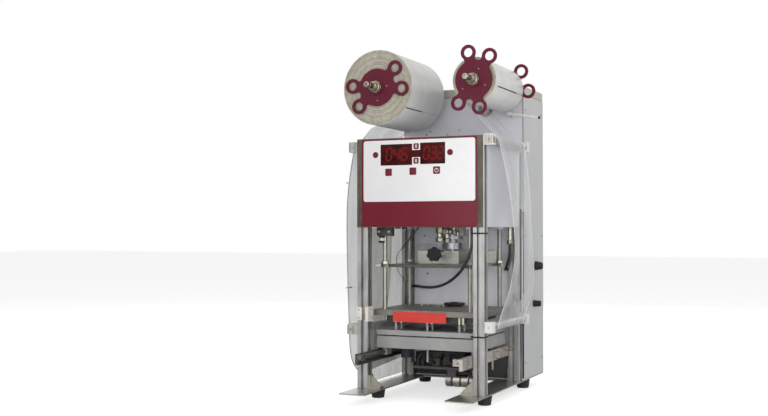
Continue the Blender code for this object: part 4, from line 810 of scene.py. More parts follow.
def build_reel(label, place, hub_turns, mark):
    """The wound roll, its two hubs, its shaft with nut and collar, and its printed mark."""
    x, z, radius = place
    body = label + "_reel"
    settings = bpy.context.scene.sealer_reels
    random.seed(label)
    half = ROLL_WIDTH / 2
    pitch = settings.layer_pitch / MM
    count = int((radius - CORE_RADIUS - 1.5) / pitch)
    front = []
    rear = []
    for index in range(count + 1):
        band = CORE_RADIUS + index * (radius - 0.8 - CORE_RADIUS) / count
        front.append((band, half - random.uniform(0, BAND_INSET)))
        rear.append((band, -half + random.uniform(0, BAND_INSET)))
    roll = bmesh.new()
    outer = [(radius - 0.25, half - 0.5), (radius, half - 1.2), (radius, -half + 1.2),
             (radius - 0.25, -half + 0.5)]
    add_turned(roll, front + outer + rear[::-1], spot(x, ROLL_FRONT_Y + half, z, "front"), 72)
    edge = at(0, ROLL_FRONT_Y + 1, 0).y
    far_edge = at(0, ROLL_FRONT_Y + ROLL_WIDTH - 1, 0).y
    for face in roll.faces:
        depth = face.calc_center_median().y
        face.material_index = 1 if depth < edge or depth > far_edge else 0
    make_piece(label + "_wound_film", roll, "roll wound", body, [label + "_roll"], 25)

    loops = hub_loops(settings.ear_radius / MM, settings.ear_hole / MM)
    for name, side, facing, turn in (
            ("hub_front", ROLL_FRONT_Y - 0.3, "front", hub_turns[0]),
            ("hub_rear", ROLL_FRONT_Y + ROLL_WIDTH + 0.3, "rear", -hub_turns[1])):
        hub = bmesh.new()
        base = spot(x, side, z, facing, turn)
        add_outline(hub, loops, 6, 0.9, base, rounds=2)
        add_turned(hub, [(0, 9), (20, 9), (21, 8), (21, 5.9), (0, 5.9)], base, 48)
        for ring in (29, 38.5):
            add_turned(hub, [(ring - 0.7, 5.8), (ring - 0.3, 6.25), (ring + 0.3, 6.25), (ring + 0.7, 5.8)],
                       base, 64)
        add_turned(hub, [(0, 0.2), (37.7, 0.2), (37.7, -17), (36.7, -18), (0, -18)], base, 48)
        for angle, reach, finish in HUB_HOLE_AND_GLINT_DOTS:
            turned = math.radians(angle)
            dot = base @ Matrix.Translation((reach * math.cos(turned), reach * math.sin(turned), 5.9))
            add_turned(hub, [(0, 0.35), (1.1, 0.35), (1.5, 0.15), (1.5, 0), (0, 0)], dot, 12, finish)
        make_piece(label + "_" + name + "_plate", hub, "hub nylon zinc", body, [label + "_" + name],
                   12)

    shaft = bmesh.new()
    nose = spot(x, HUB_FACE_Y, z, "front")
    tip = HUB_FACE_Y + 50
    rear_end = HUB_FACE_Y - CABINET_Y - 0.8
    add_turned(shaft, [(0, tip - 3), (3.6, tip - 3), (3.6, tip), (6.8, tip - 0.2), (8, tip - 1.8),
                       (8, tip - 9), (7.1, tip - 9.6), (7.1, tip - 11.4), (8, tip - 12),
                       (8, rear_end + 1), (7, rear_end), (0, rear_end)], nose, 32)
    add_turned(shaft, [(7.8, 28.6), (9.8, 28.6), (11.9, 26.6), (11.9, 22.5), (11, 22), (11, 20.8),
                       (11.9, 20.3), (11.9, 12.3), (7.8, 12.3)], nose, 32, 1)
    add_turned(shaft, [(7.8, 12.2), (12.4, 12.2), (14.4, 11.2, 8), (15, 6.4, 8), (14, 6), (16.4, 5.6),
                       (16.4, 0.3), (7.8, 0.3)], nose, 48, 1)
    make_piece(label + "_shaft_with_nut", shaft, "shaft brass", body, [label + "_shaft"])

    marks = bmesh.new()
    angle, dark_start, dark_end = mark
    for start, end, width, finish in ((dark_start, dark_end, 3.4, 0), (dark_end, 257, 1, 1)):
        half_angle = math.degrees(width / 2 / radius)
        turned = [(math.radians(angle + side), radius + rise) for side, rise in (
            (-half_angle, 0.05), (-half_angle, 0.14), (half_angle, 0.14), (half_angle, 0.05))]
        outline = [(x + reach * math.cos(turn), z + reach * math.sin(turn)) for turn, reach in turned]
        join_rings(marks, [[marks.verts.new(at(u, y, v)) for u, v in outline] for y in (start, end)], finish)
    make_piece(label + "_roll_marks", marks, "ink rule", body)


class SEALER_OT_reels(bpy.types.Operator):
    """Builds both film reels with wound film, ring-eared hubs, shafts, nuts and printed marks"""
    bl_idname = "sealer.reels"
    bl_label = "Film reels"

    def execute(self, context):
        build_reel("supply", SUPPLY, (19, 64), (-35, 24, 135))
        build_reel("takeup", TAKEUP, (78, 20), (-17, 42, 200))
        return {"FINISHED"}


# Film webs, which keep inside the solids' own reach across the machine
WEB_LIMITS = (-233.85, 248.65)
# Above this height a web lies flat on its upper roller
WEB_TAUT_TOP = 668
# The centres of the punched window's round ends, up and down the web, and its place in the depth
WINDOW_ENDS = (315, 463)
WINDOW_Y = 129.5


def film_lines():
    """The two webs' near and far edge lines in (x, z) millimetres, as the solids have them."""
    gap = 0.8

    def around(spec, start, end, count):
        return arc(spec[:2], spec[2] + gap, start, end, count)

    x, z, radius = SUPPLY
    supply = [(x, z - radius - gap), (-158, 733.5), (-178.5, 712)]
    supply += around(ROLLER_UPPER_LEFT, 128, 170, 3)
    supply_end = [(-160, 120), (-160, 165), (-158.5, 190), (-154, 200.5)]
    supply_near = supply + [
        (-214.5, 660), (-227.5, 581), (-233.2, 505), (-233.2, 400), (-231, 290), (-226, 175),
        (-222.5, 125), (-213, 92), (-196.5, 73), (-180, 70), (-165, 86)] + supply_end
    supply_far = supply + [
        (-207.2, 650), (-202, 581), (-198.5, 505), (-198.5, 400), (-205, 290), (-216.8, 190),
        (-212, 140), (-203, 108), (-190, 90), (-177.5, 84), (-165, 96)] + supply_end
    x, z, radius = TAKEUP
    start = arc((x, z), radius + gap, 221, 222, 2)[0]
    over = around(ROLLER_UPPER_RIGHT, 42, 5, 3)
    run = [tuple(Vector(start).lerp(Vector(over[0]), share)) for share in (0.33, 0.67)]
    under = around(ROLLER_LOWER_RIGHT, -12, -80, 4)
    tail = [(172, 198.5), (154, 199)]
    near = [(212.5, 664), (229, 588), (239.5, 515), (247, 440), (248, 390), (240, 330),
            (229, 286), (215, 250), (207, 228)]
    far = [(209.5, 664), (218, 588), (223.5, 515), (227, 440), (230, 390), (232, 330),
           (227, 286), (216, 250), (208, 228)]
    lead = [start] + run + over
    return (supply_near, supply_far), (lead + near + under + tail, lead + far + under + tail)


def web_edge(line):
    """The smooth run of one edge line of a web, in its own flat plan."""
    return smooth_path([(x, 0, z) for x, z in line], 5)


def web_surface(near, far, ripple, taut_top, taut_low, window=None):
    """A rippled film surface lofted between its edge lines, with an optional punched window."""
    columns = 40
    film = bmesh.new()
    rows = []
    for near_point, far_point in zip(web_edge(near), web_edge(far)):
        row = []
        for column in range(columns + 1):
            share = column / columns
            point = near_point.lerp(far_point, share)
            point.y = FILM_FRONT_Y + FILM_WIDTH * share
            slack = min(1, max(0, (taut_top - point.z) / 80), max(0, (point.z - taut_low) / 60))
            wave = noise.noise(Vector((point.y / 34, point.z / 210, point.x / 90)))
            point.x = max(WEB_LIMITS[0], min(WEB_LIMITS[1], point.x + ripple * slack * wave * 1.6))
            row.append(film.verts.new(at(*point)))
        rows.append(row)
    for upper, lower in zip(rows, rows[1:]):
        for column in range(columns):
            face = film.faces.new((upper[column], upper[column + 1], lower[column + 1], lower[column]))
            # The web's edge columns wear the pale lip finish: a doubled edge, partly painted highlight
            face.material_index = 1 if column in (0, columns - 1) else 0
    if window:
        punch_window(film, *window)
    return film


def punch_window(film, low, high, radius, centre_y):
    """Cuts a round-ended window between two heights and draws the faces' corners onto its edge."""
    free_run = 200

    def from_window(place):
        point = (place - ORIGIN) / MM
        anchor = min(max(point.z, low), high)
        return point.x, anchor, Vector((point.y - centre_y, point.z - anchor))

    for face in list(film.faces):
        x, _, away = from_window(face.calc_center_median())
        if away.length < radius and x > free_run:
            film.faces.remove(face)
    for vert in film.verts:
        if not vert.is_boundary:
            continue
        x, anchor, away = from_window(vert.co)
        if x > free_run and 1 < away.length < radius * 1.25:
            target = away.normalized() * radius
            vert.co.y = at(0, centre_y + target.x, 0).y
            vert.co.z = at(0, 0, anchor + target.y).z
    bmesh.ops.delete(film, geom=[v for v in film.verts if not v.link_faces], context="VERTS")


class SEALER_OT_film_webs(bpy.types.Operator):
    """Builds the slack supply web and the punched take-up web as thin translucent film"""
    bl_idname = "sealer.film_webs"
    bl_label = "Film webs"

    def execute(self, context):
        settings = context.scene.sealer_films
        radius = settings.window_radius / MM
        low, high = WINDOW_ENDS
        supply, takeup = film_lines()
        for label, (near, far), finishes, taut_low, window, rest in (
                ("supply", supply, "web lip", 60, None, "guide_roller_upper_left"),
                ("takeup", takeup, "web_thin lip", 215, (low, high, radius, WINDOW_Y),
                 "guide_roller_lower_right")):
            film = web_surface(near, far, settings.ripple / MM, WEB_TAUT_TOP, taut_low, window)
            piece = make_piece(label + "_film", film, finishes, "root", ["film_web_" + label],
                               60, False)
        marks = bmesh.new()
        for x, y, z, height in ((-233.9, 64, 297, 3.4), (-234.2, 40, 586, 2.6)):
            add_block(marks, (x - 0.1, 28, z), (x, y, z + height), 0)
        make_piece("film_marks", marks, "ink")
        return {"FINISHED"}


# Air hoses, with their routes as the solids have them
HOSE_ROUTES = {
    "front": [(-149, 289, 293.5), (-138, 287.5, 293.3), (-127, 281.2, 293), (-113.7, 268.7, 292.7),
              (-98.8, 254.2, 292.8), (-68.9, 225.3, 294), (-40.3, 195.4, 297.1), (-13.1, 164.4, 302),
              (12.8, 132.6, 308.7), (38.2, 100.7, 316.9), (63, 69.1, 327.3), (88, 38.6, 340.5),
              (101.6, 27.4, 351.2), (114.2, 21.2, 366.4), (124.7, 17.7, 383.9), (131.7, 17.6, 403.4),
              (134.8, 19.6, 423.9), (134, 22.5, 444.5), (134, 22.5, 465.2)],
    "right": [(159, 264, 465.2), (159, 264, 430), (158, 266, 390), (147, 272, 356),
              (138, 286, 346.5), (137, 298, 346), (137, 311.4, 346)],
}
# Short tubes that stand bent under the mould, from the drive body down to its platform
TUBE_ROUTES = (
    [(-20, 124.5, 104), (-22, 114, 113), (-28, 104, 120), (-38, 97, 121),
     (-46, 95, 112), (-49, 95, 100), (-49, 95, 90.4)],
    [(-4, 104.5, 96), (-7, 95, 104), (-14, 90, 116), (-24, 90, 121),
     (-32, 92, 114), (-34, 94, 102), (-34, 94, 90.4)],
    [(14, 124.5, 106), (15, 114, 114), (19, 104, 121), (26, 97, 118),
     (30, 94, 106), (30, 94, 90.4)],
    [(36, 124.5, 100), (38, 114, 110), (44, 105, 119), (53, 99, 121),
     (60, 96, 112), (62, 96, 101), (62, 96, 90.4)])
TUBE_DIAMETER = 0.0055


def hose_curve(name, points, diameter, solid=None):
    """A round hose along smoothed points, which may stand for a solid of the frame."""
    curve = bpy.data.curves.new(name, "CURVE")
    curve.dimensions = "3D"
    curve.bevel_depth = diameter / 2
    curve.bevel_resolution = 4
    curve.use_fill_caps = True
    route = smooth_path([at(*point) for point in points], 3)
    spline = curve.splines.new("POLY")
    spline.points.add(len(route) - 1)
    for point, where in zip(spline.points, route):
        point.co = (*where, 1)
    curve.materials.append(FINISHES["hose"])
    piece = bpy.data.objects.new(name, curve)
    bpy.context.scene.collection.objects.link(piece)
    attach(piece, "root")
    if solid:
        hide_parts(solid)


class SEALER_OT_air_hoses(bpy.types.Operator):
    """Builds the black hoses between the posts, the housing and the cabinet, and the drive's tubes"""
    bl_idname = "sealer.air_hoses"
    bl_label = "Air hoses"

    def execute(self, context):
        diameter = context.scene.sealer_hoses.diameter
        for label, route in HOSE_ROUTES.items():
            hose_curve("air_hose_" + label, route, diameter, "hose_" + label)
        for index, route in enumerate(TUBE_ROUTES):
            hose_curve("drive_tube_%d" % (index + 1), route, TUBE_DIAMETER)
        return {"FINISHED"}


# Small parts on the frame
class SEALER_OT_post_clamps(bpy.types.Operator):
    """Builds the white clamp blocks on the left front post and the black ties round the right one"""
    bl_idname = "sealer.post_clamps"
    bl_label = "Post clamps and ties"

    def execute(self, context):
        outer = -POST_X - POST_HALF
        inner = -POST_X + POST_HALF
        front = -POST_HALF
        clamps = bmesh.new()
        add_block(clamps, (outer - 0.5, front - 3.2, 215.5), (outer + 14, front, 252), 1.5)
        add_block(clamps, (outer + 14, front - 1, 217), (inner - 5, front, 250), 0.3, 1)
        wrap = [(inner - 5, front - 3.2), (inner + 3.2, front - 3.2), (inner + 3.2, POST_HALF - 2),
                (inner, POST_HALF - 2), (inner, front), (inner - 5, front)]
        add_outline(clamps, [wrap], 40.5, 0.9, spot(0, 0, 212.5), rounds=2)
        for z in (222, 244):
            add_screw(clamps, spot(outer + 6.5, front - 3.2, z, "front"), 2.4, 0.8, 2)
            add_screw(clamps, spot(inner + 3.2, 0, z, "right"), 2.4, 0.8, 2)
        make_piece("post_clamp_blocks", clamps, "acetal brass zinc")
        ties = bmesh.new()
        for z in (447.2, 181.8):
            around = [rounded_box((POST_X - reach, -reach), (POST_X + reach, reach), reach - 13.5)
                      for reach in (16.6, 15.4)]
            add_outline(ties, [around[0], around[1][::-1]], 3.8, 0.3, spot(0, 0, z))
            add_block(ties, (POST_X - 20.5, -16.5, z - 1), (POST_X - 16.2, -9, z + 5), 0.8)
            add_block(ties, (POST_X - 20.4, -9.5, z + 0.4), (POST_X - 19.2, 6, z + 3.4), 0.4)
        make_piece("post_ties", ties, "nylon")
        return {"FINISHED"}


class SEALER_OT_floor_fittings(bpy.types.Operator):
    """Builds the connector block, nuts, elbows and formed rod that hang under the housing"""
    bl_idname = "sealer.floor_fittings"
    bl_label = "Fittings under the housing"

    def execute(self, context):
        block = bmesh.new()
        add_block(block, (-140, 24, 441.5), (-96, 44, FLOOR_Z), 1.4)
        for x in (-133.4, -104):
            add_screw(block, spot(x, 24, 453, "front"), 3.4, 1.4, 1)
        add_block(block, (-92, 34, 461), (-77, 46, FLOOR_Z), 0.8)
        make_piece("connector_block", block, "shade zinc")
        nipple = bmesh.new()
        under = spot(-128.6, 34, 441.5, "down")
        add_turned(nipple, [(0, 0), (8.6, 0), (8.6, 4.4), (6.6, 5.2), (0, 5.2)], under, 24, 1)
        add_turned(nipple, [(0, 5.2), (6.2, 5.2), (6.8, 6.4), (6.8, 12.4), (6, 13.4), (0, 13.4)], under, 24)
        add_turned(nipple, [(0, 13.4), (8, 13.4, 6), (8, 18.4, 6), (5, 19), (0, 19)], under, 24, 1)
        ring = spot(-64.6, 40, FLOOR_Z, "down")
        add_turned(nipple, [(0, 0), (3, 0), (3, 6.4), (2.2, 7), (0, 7)], ring, 24)
        add_nut(nipple, ring, 3.1, 6.8, 5.4, 1)
        make_piece("floor_nipples", nipple, "acetal nylon")

        brass = bmesh.new()
        for x, y, high, low, reach, flats in (
                (-6, 148, FLOOR_Z, 449, 9.4, 6), (-6, 148, 449, 437, 8, 0),
                (-6, 148, 437, 425, 9.8, 6), (15, 150, 447, 434, 6.6, 0),
                (15, 150, 434, 422, 8, 6), (37, 146, FLOOR_Z, 456, 5.2, 0),
                (37, 146, 456, 445, 6.6, 6), (47, 150, FLOOR_Z, 455, 6.8, 6),
                (47, 150, 455, 441, 6, 0)):
            depth = high - low
            turns = (flats,) if flats else ()
            add_turned(brass, [(0, 0), (reach * 0.9, 0), (reach, depth * 0.1, *turns),
                               (reach, depth * 0.9, *turns), (reach * 0.9, depth), (0, depth)],
                       spot(x, y, high, "down"), 24, 0 if flats else 1)
        add_block(brass, (-1, 143, 447), (33, 157, 461), 2.2)
        add_turned(brass, [(0, 0), (6.2, 0), (6.2, 3), (7.4, 3.4, 6), (7.4, 9, 6), (4.4, 9.6),
                           (4.4, 13), (0, 13)], spot(16, 143, 454, "front"), 24)
        make_piece("air_fitting_cluster", brass, "brass zinc")
        valve = bmesh.new()
        add_block(valve, (53, 140, 441), (67, 162, FLOOR_Z), 1)
        add_screw(valve, spot(60, 140, 446.5, "front"), 2.2, 1, 1)
        add_screw(valve, spot(60, 140, 459, "front"), 2.2, 1, 1)
        make_piece("air_valve_block", valve, "thin_hose zinc")
        ferrule = bmesh.new()
        hose = spot(159, 264, FLOOR_Z - 0.2, "down")
        add_sleeve(ferrule, hose, 4.2, 5.8, 37)
        add_nut(ferrule, hose @ Matrix.Translation((0, 0, 37)), 4.2, 7.4, 11, 1)
        make_piece("hose_ferrule_right", ferrule, "polished brass")

        rod = bmesh.new()
        add_tube(rod, [(-103, 230, FLOOR_Z), (-155.4, 230, 403.7)], 2.2, 12)
        wire_points = [(-154.2, 230, 405.2), (-163.5, 230, 395.5), (-169.8, 230, 386), (-174, 231, 367.6),
                       (-172.4, 236, 344), (-169, 250, 326.5), (-168.6, 268, 317), (-169.8, 279.6, 313.6)]
        add_tube(rod, smooth_path(wire_points, 4), 0.9, 8)
        add_turned(rod, [(0, 4.6), (4.2, 4.6), (5, 4), (5, 2.8), (7.6, 2.6), (7.6, 0), (0, 0)],
                   spot(-169.8, 281.4, 313.5, "front"), 24, 1)
        make_piece("spring_rod", rod, "heated zinc")
        return {"FINISHED"}


class SEALER_OT_press_parts(bpy.types.Operator):
    """Builds the screws, nuts, pin sleeves, white pad, sensor disc and cylinder cap of the press"""
    bl_idname = "sealer.press_parts"
    bl_label = "Press fasteners"

    def execute(self, context):
        disc = bmesh.new()
        foot = spot(6, 230, 243)
        add_turned(disc, [(0, 0), (20, 0), (20, 3.2), (0, 3.2)], foot, 40, 1)
        add_turned(disc, [(0, 3.2), (28.6, 3.2), (30, 4.4), (30, 7.8), (28.4, 9), (11, 9.2),
                          (10, 11.4), (0, 11.8)], foot, 48)
        make_piece("sensor_disc", disc, "nylon hub", "press_head")
        steel = bmesh.new()
        for x, y in ((-82.5, 201.6), (-67, 208.7), (-28.7, 196.4), (-11, 188)):
            add_sleeve(steel, spot(x, y, 243), 2, 6.4, 1.2)
            add_screw(steel, spot(x, y, 244), 4.2, 3.6)
        for x in (-91.2, -76, 0, 12.8, 91.2, 102):
            add_sleeve(steel, spot(x, 43, 208), 4.2, 5.1, 19, 1)
        for x, y in ((122.5, 40), (136.5, 240)):
            for side in (-1, 1):
                add_nut(steel, spot(side * x, y, 365.1), 6.3, 9.4, 8.6)
        for x in (-54.7, 25.7):
            add_screw(steel, spot(x, 153, 376.5, "front"), 4.4, 2.2)
        add_block(steel, (-147.8, 33, 359.2), (-132.6, 47, 364.4), 1, 2)
        cap = bmesh.new()
        add_sleeve(cap, spot(0, 230, 403.2), 14, 29, 19)
        make_piece("press_cylinder_cap", cap, "barrel")
        make_piece("press_fasteners", steel, "zinc polished acetal", "press_head")
        return {"FINISHED"}


def ragged_strip(shape, corners, z, out):
    """A thin dark strip of uneven height that shows round a seam, along corners in a flat plan: partly a
    gasket, partly painted shade in the seam.
    """
    step = 3
    rings = []
    for (x0, y0), (x1, y1) in zip(corners, corners[1:]):
        length = math.hypot(x1 - x0, y1 - y0)
        aside = Vector(((y1 - y0) / length, (x0 - x1) / length))
        for index in range(int(length / step) + 1):
            share = index * step / length
            place = Vector((x0 + (x1 - x0) * share, y0 + (y1 - y0) * share))
            rise = 0.3 + 1.9 * max(0, noise.noise(Vector((place.x / 13, place.y / 13, 3))))
            drop = 0.3 + 1.6 * max(0, noise.noise(Vector((place.x / 9, place.y / 9, 9))))
            far = place + aside * out
            rings.append([shape.verts.new(at(*side, height)) for side, height in (
                (place, z - drop), (far, z - drop), (far, z + rise), (place, z + rise))])
    join_rings(shape, rings)


# Height of the seam between the mould's base and top
SEAM_Z = 174.35


class SEALER_OT_mould_parts(bpy.types.Operator):
    """Builds the ragged dark strip round the mould's seam, partly a gasket and partly painted shade"""
    bl_idname = "sealer.mould_parts"
    bl_label = "Mould details"

    def execute(self, context):
        gasket = bmesh.new()
        side, front, rear = 143, 30, 272
        # The strip's dark finish stands partly for a gasket and partly for painted shade in the seam
        ragged_strip(gasket, [(-side, rear), (-side, front), (side, front), (side, rear)], SEAM_Z, 0.35)
        make_piece("mould_seam_gasket_and_shade", gasket, "nylon", "mould_drawer")
        return {"FINISHED"}


# The rails' outer faces, from the middle plane
RAIL_FACE_X = 149


class SEALER_OT_rail_parts(bpy.types.Operator):
    """Builds the screws and eye rings on the outer faces of the drawer rails, and a pin under one"""
    bl_idname = "sealer.rail_parts"
    bl_label = "Rail fasteners"

    def execute(self, context):
        rails = bmesh.new()
        for y, z in ((75.7, 113), (157.6, 122.3), (268, 126), (-39, 110.5)):
            for side, facing in ((-1, "left"), (1, "right")):
                place = spot(side * RAIL_FACE_X, y, z, facing)
                add_sleeve(rails, place, 2, 6.2, 1.1)
                add_screw(rails, place @ Matrix.Translation((0, 0, 1)), 3.8, 2.2)
        add_turned(rails, [(0, 0), (3, 0), (3, 24), (2.2, 26), (0, 26)], spot(143, 157, 105.4, "down"), 20)
        for x, y, z, wide, high in ((158.5, 160, 120, 9.5, 10), (159.5, 271, 126, 9.5, 5.4)):
            loop = [(x + wide * math.cos(math.radians(a)), y, z + high * math.sin(math.radians(a)))
                    for a in range(-170, 171, 20)]
            add_tube(rails, loop, 1.1, 8, 1)
        make_piece("rail_fasteners", rails, "zinc brass")
        return {"FINISHED"}


class SEALER_OT_cabinet_parts(bpy.types.Operator):
    """Builds the cabinet's screws, a dark sheet of painted shade in its opening, seals, folded lip and knobs,
    and the side guard
    """
    bl_idname = "sealer.cabinet_parts"
    bl_label = "Cabinet details"

    def execute(self, context):
        front = CABINET_Y - 0.05
        # A near-black sheet on the cabinet front below the mould: painted shade where the opening behind the
        # drive lies dark
        dark = bmesh.new()
        outline = [(-148, 36), (138, 36), (138, 104), (96, 118), (-70, 118), (-104, 104), (-148, 100)]
        add_outline(dark, [outline], 0.3, 0.08, spot(0, front, 0, "front"))
        make_piece("cabinet_opening_painted_shade", dark, "shade")
        screws = bmesh.new()
        for x, z in (
                (-118.3, 440.6), (-108.9, 329.5), (-99.3, 747.2), (-8.3, 748.1), (-45.7, 736.4),
                (-112, 737.4), (118, 442.4), (118, 750), (-150, 800), (150, 780)):
            add_screw(screws, spot(x, front, z, "front"), 3.2, 1.4)
        for z in (80, 440, 800):
            for y in (332, 494):
                for side, facing in ((-1, "left"), (1, "right")):
                    add_screw(screws, spot(side * CABINET_HALF, y, z, facing), 3.2, 1.4)
        make_piece("cabinet_screws", screws, "zinc")
        seal = bmesh.new()
        for side in (-1, 1):
            for inner, low, high, deep in ((POST_X + POST_HALF + 0.2, 38, 205, 4.4),
                                           (CABINET_HALF - 1, 205, 838, 2)):
                near, far = sorted((side * inner, side * (CABINET_HALF + 0.5)))
                add_block(seal, (near, CABINET_Y - 0.28, low), (far, CABINET_Y + deep, high), 0.2)
        make_piece("cabinet_seal", seal, "rubber")
        guard = bmesh.new()
        gap = POST_HALF + 0.3
        sheet = rounded_box((gap, 40), (REAR_POST_Y - gap, 463), 9)
        add_outline(guard, [sheet], 1.2, 0.3, spot(-POST_X - 13, 0, 0, "right") @ QUARTER)
        make_piece("side_guard_left", guard, "guard")
        lip = bmesh.new()
        add_outline(lip, [rounded_box((-140, 402), (-74, 417), 2)], 1.2, 0.5,
                    spot(0, front, 0, "front"), rounds=2)
        make_piece("cabinet_front_lip", lip, "lip")
        length = 21
        for name, y, z, foot, tip in (("upper", 430, 353, 13, 9.5), ("lower", 411, 244, 9.5, 8)):
            knob = bmesh.new()
            add_turned(knob, [
                (0, length - 0.8), (tip - 3, length - 0.8), (tip - 2.4, length), (tip - 0.8, length),
                (tip, length - 1), (foot - 0.6, 6.4), (foot, 5.6), (foot, 0.8), (foot - 0.8, 0),
                (0, 0)], spot(CABINET_HALF + 0.3, y, z, "right"), 36)
            slope = (foot - tip) / (length - 7)
            for step in range(12):
                turned = spot(CABINET_HALF + 0.3, y, z, "right", step * 30)
                near = foot - 1
                rib = [(near - 1, 6.6), (near + 0.5, 6.6), (tip + 0.4 + slope, length - 2),
                       (tip - 1.2, length - 1.6)]
                join_rings(knob, [[knob.verts.new(turned @ Vector((r, side, h))) for r, h in rib]
                                  for side in (-0.7, 0.7)])
            make_piece("side_knob_" + name + "_grip", knob, "nylon",
                       replaced=["side_knob_" + name])
        return {"FINISHED"}


class SEALER_OT_drive_parts(bpy.types.Operator):
    """Builds the banded drive cylinder and the black connector beside it"""
    bl_idname = "sealer.drive_parts"
    bl_label = "Drive cylinder"

    def execute(self, context):
        barrel = bmesh.new()
        axis = spot(34, 100, 53.5, "right")
        reach = 16.9
        for start, end, finish in ((0, 17.2, 0), (21.4, 41, 1), (44.6, 64.6, 1), (68, 90, 0)):
            add_turned(barrel, [(0, start), (reach - 1.6, start), (reach, start + 1.2), (reach, end - 1.2),
                                (reach - 1.6, end), (0, end)], axis, 40, finish)
        # The grooves between the bands are near-black: painted shade in the recesses
        for start, end in ((17.2, 21.4), (41, 44.6), (64.6, 68)):
            add_turned(barrel, [(0, start), (14.6, start), (14.6, end), (0, end)], axis, 40, 2)
        make_piece("drive_cylinder_barrel", barrel, "barrel polished shade",
                   replaced=["drive_cylinder"])
        black = bmesh.new()
        add_block(black, (71.5, 88, 70.4), (99, 112, 79), 1.6)
        add_turned(black, [(0, 0), (4.6, 0, 6), (4.6, 6, 6), (3.4, 6.4), (3.4, 11), (0, 11)],
                   spot(108, 100, 70.2), 24, 1)
        make_piece("drive_connectors", black, "nylon brass")
        return {"FINISHED"}


# How far the rollers' brackets reach in front of the posts' centres, and behind the rear posts'
BRACKET_REACH = 12


class SEALER_OT_roller_parts(bpy.types.Operator):
    """Builds the ribs and screws on the film rollers' brackets, and the black cap on the film guard rod's tip
    """
    bl_idname = "sealer.roller_parts"
    bl_label = "Roller bracket details"

    def execute(self, context):
        parts = bmesh.new()
        for x, z, _ in (ROLLER_UPPER_LEFT, ROLLER_UPPER_RIGHT, ROLLER_LOWER_LEFT, ROLLER_LOWER_RIGHT):
            side = 1 if x > 0 else -1
            for y, facing in ((-BRACKET_REACH, "front"), (REAR_POST_Y + BRACKET_REACH, "rear")):
                if y < 0 and (x, z) == ROLLER_LOWER_RIGHT[:2]:
                    continue
                ribbed = side > 0 and z > 600 and y < 0
                if not ribbed:
                    add_screw(parts, spot(x, y, z, facing), 3.6, 1.6, 1)
                for rib in (-10, -6, -2, 2, 6) if ribbed else (-9.4, -6.6, 6.6, 9.4):
                    middle = x + rib
                    if POST_X + POST_HALF + 1 < abs(middle) < abs(x) + 9.5:
                        add_block(parts, (middle - 0.7, y - 0.5, z - 11.5), (middle + 0.7, y + 0.5, z + 11.5),
                                  0.3, 0 if side > 0 and not ribbed else 2)
                if ribbed:
                    add_block(parts, (202.9, -11, z - 8.5), (204.1, -3.5, z + 9.5), 0.4, 4)
                    add_block(parts, (202.9, -1, z - 9.5), (203.9, 8, z + 6.5), 0.4, 4)
        add_turned(parts, [(0, 0), (3.4, 0), (3.9, 0.8), (3.9, 4), (3.2, 4.8), (0, 4.8)],
                   spot(236.6, 282, 770.6, "right"), 20, 3)
        make_piece("bracket_ribs", parts, "acetal zinc thin_hose nylon brass")
        return {"FINISHED"}


# Stage: each lamp's place in metres, its width and height, and its share of the key light's power
LAMPS = (
    ("front_softbox", (0.9, -2.8, 0.78), (3.4, 1.5), 1),
    ("left_softbox", (-1.6, -2.2, 1.9), (2.4, 2.4), 0.2),
    ("right_softbox", (2.6, -0.8, 1.5), (2.2, 2.4), 0.62),
    ("rear_softbox", (-0.8, 3, 1.5), (2.6, 2), 0.22),
    ("top_softbox", (0, 0.2, 3), (2.6, 2.6), 0.38))
LAMP_AIM = Vector((0, 0, 0.45))
# How strongly the floor shines of its own, to the camera only
FLOOR_LIFT = 0.6
# How bright the white world is where neither the camera nor a reflection sees it
WORLD_FILL = 0.3
# The camera's place in millimetres, and its pitch and turn in radians
CAMERA_PLACE = (1071.249, -2569.809, 459.953)
CAMERA_PITCH = 0.020
CAMERA_TURN = 0.430


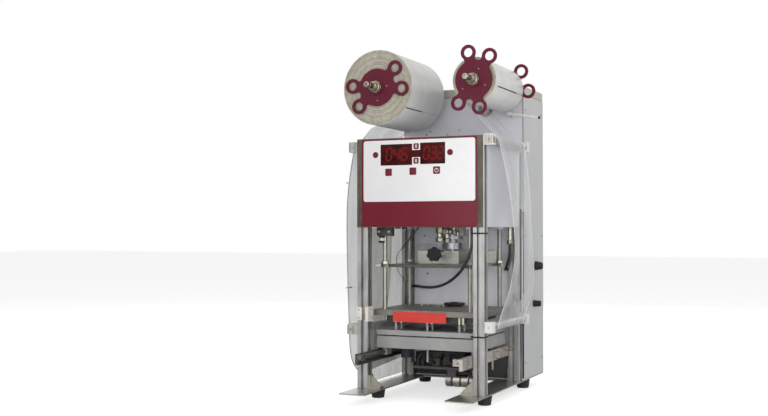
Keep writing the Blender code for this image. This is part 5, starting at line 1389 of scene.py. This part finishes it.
class SEALER_OT_stage(bpy.types.Operator):
    """Sets the plain pale floor, the soft studio lights and the camera"""
    bl_idname = "sealer.stage"
    bl_label = "Studio stage"

    def execute(self, context):
        settings = context.scene.sealer_stage
        scene = context.scene
        scene.view_settings.view_transform = "Standard"
        bpy.ops.mesh.primitive_plane_add(size=30, location=(0, 0, 0))
        floor = context.object
        floor.name = "studio_floor"
        white = (1, 1, 1, 1)
        paper = start_finish("paper_floor_white", Base_Color=list(settings.floor_colour), Roughness=0.9,
                             Specular_IOR_Level=0.1, Emission_Color=white)
        seen = add(paper, "LightPath").outputs["Is Camera Ray"]
        wire(paper, "Emission Strength", maths(paper, "MULTIPLY", seen, FLOOR_LIFT))
        floor.data.materials.append(paper)

        world = bpy.data.worlds.new("studio_world")
        world.use_nodes = True
        scene.world = world
        world.node_tree.nodes["Background"].inputs["Color"].default_value = white
        rays = add(world, "LightPath").outputs
        seen = maths(world, "MAXIMUM", rays["Is Camera Ray"], rays["Is Glossy Ray"])
        seen = maths(world, "MAXIMUM", seen, rays["Is Transmission Ray"])
        level = add(world, "Mix", {0: seen, 2: WORLD_FILL, 3: 1}).outputs[0]
        wire(world, "Strength", level, "Background")

        for name, where, size, share in LAMPS:
            light = bpy.data.lights.new(name, "AREA")
            light.shape = "RECTANGLE"
            light.size, light.size_y = size
            light.energy = settings.key_power * share
            lamp = bpy.data.objects.new(name, light)
            lamp.location = where
            lamp.rotation_euler = (LAMP_AIM - Vector(where)).to_track_quat("-Z", "Y").to_euler()
            scene.collection.objects.link(lamp)

        camera = bpy.data.cameras.new("photo_camera")
        camera.lens = settings.lens
        camera.sensor_width = 36
        holder = bpy.data.objects.new("photo_camera", camera)
        holder.location = at(*CAMERA_PLACE)
        holder.rotation_euler = (math.pi / 2 + CAMERA_PITCH, 0, CAMERA_TURN)
        scene.collection.objects.link(holder)
        scene.camera = holder
        return {"FINISHED"}


OPERATORS = (SEALER_OT_stage, SEALER_OT_finish_frame, SEALER_OT_air_hoses, SEALER_OT_control_panel,
             SEALER_OT_reels, SEALER_OT_film_webs, SEALER_OT_post_clamps, SEALER_OT_floor_fittings,
             SEALER_OT_press_parts, SEALER_OT_mould_parts, SEALER_OT_rail_parts, SEALER_OT_cabinet_parts,
             SEALER_OT_drive_parts, SEALER_OT_roller_parts)
SETTINGS = {"sealer_panel": PanelSettings, "sealer_reels": ReelSettings, "sealer_films": FilmSettings,
            "sealer_hoses": HoseSettings, "sealer_stage": StageSettings}


class SEALER_PT_sidebar(bpy.types.Panel):
    """Lists the machine's settings and the operators that build its pieces"""
    bl_idname = "SEALER_PT_sidebar"
    bl_label = "Cup sealing machine"
    bl_space_type = "VIEW_3D"
    bl_region_type = "UI"
    bl_category = "Cup sealer"

    def draw(self, context):
        for operator in OPERATORS:
            self.layout.operator(operator.bl_idname)
        for name, group in SETTINGS.items():
            box = self.layout.box()
            for setting in group.__annotations__:
                box.prop(getattr(context.scene, name), setting)


def register():
    for item in (*SETTINGS.values(), *OPERATORS, SEALER_PT_sidebar):
        bpy.utils.register_class(item)
    for name, group in SETTINGS.items():
        setattr(bpy.types.Scene, name, PointerProperty(type=group))


def unregister():
    for name in SETTINGS:
        delattr(bpy.types.Scene, name)
    for item in reversed((*SETTINGS.values(), *OPERATORS, SEALER_PT_sidebar)):
        bpy.utils.unregister_class(item)


def main():
    register()
    for operator in OPERATORS:
        getattr(bpy.ops.sealer, operator.bl_idname.split(".")[1])()


if __name__ == "__main__":
    main()
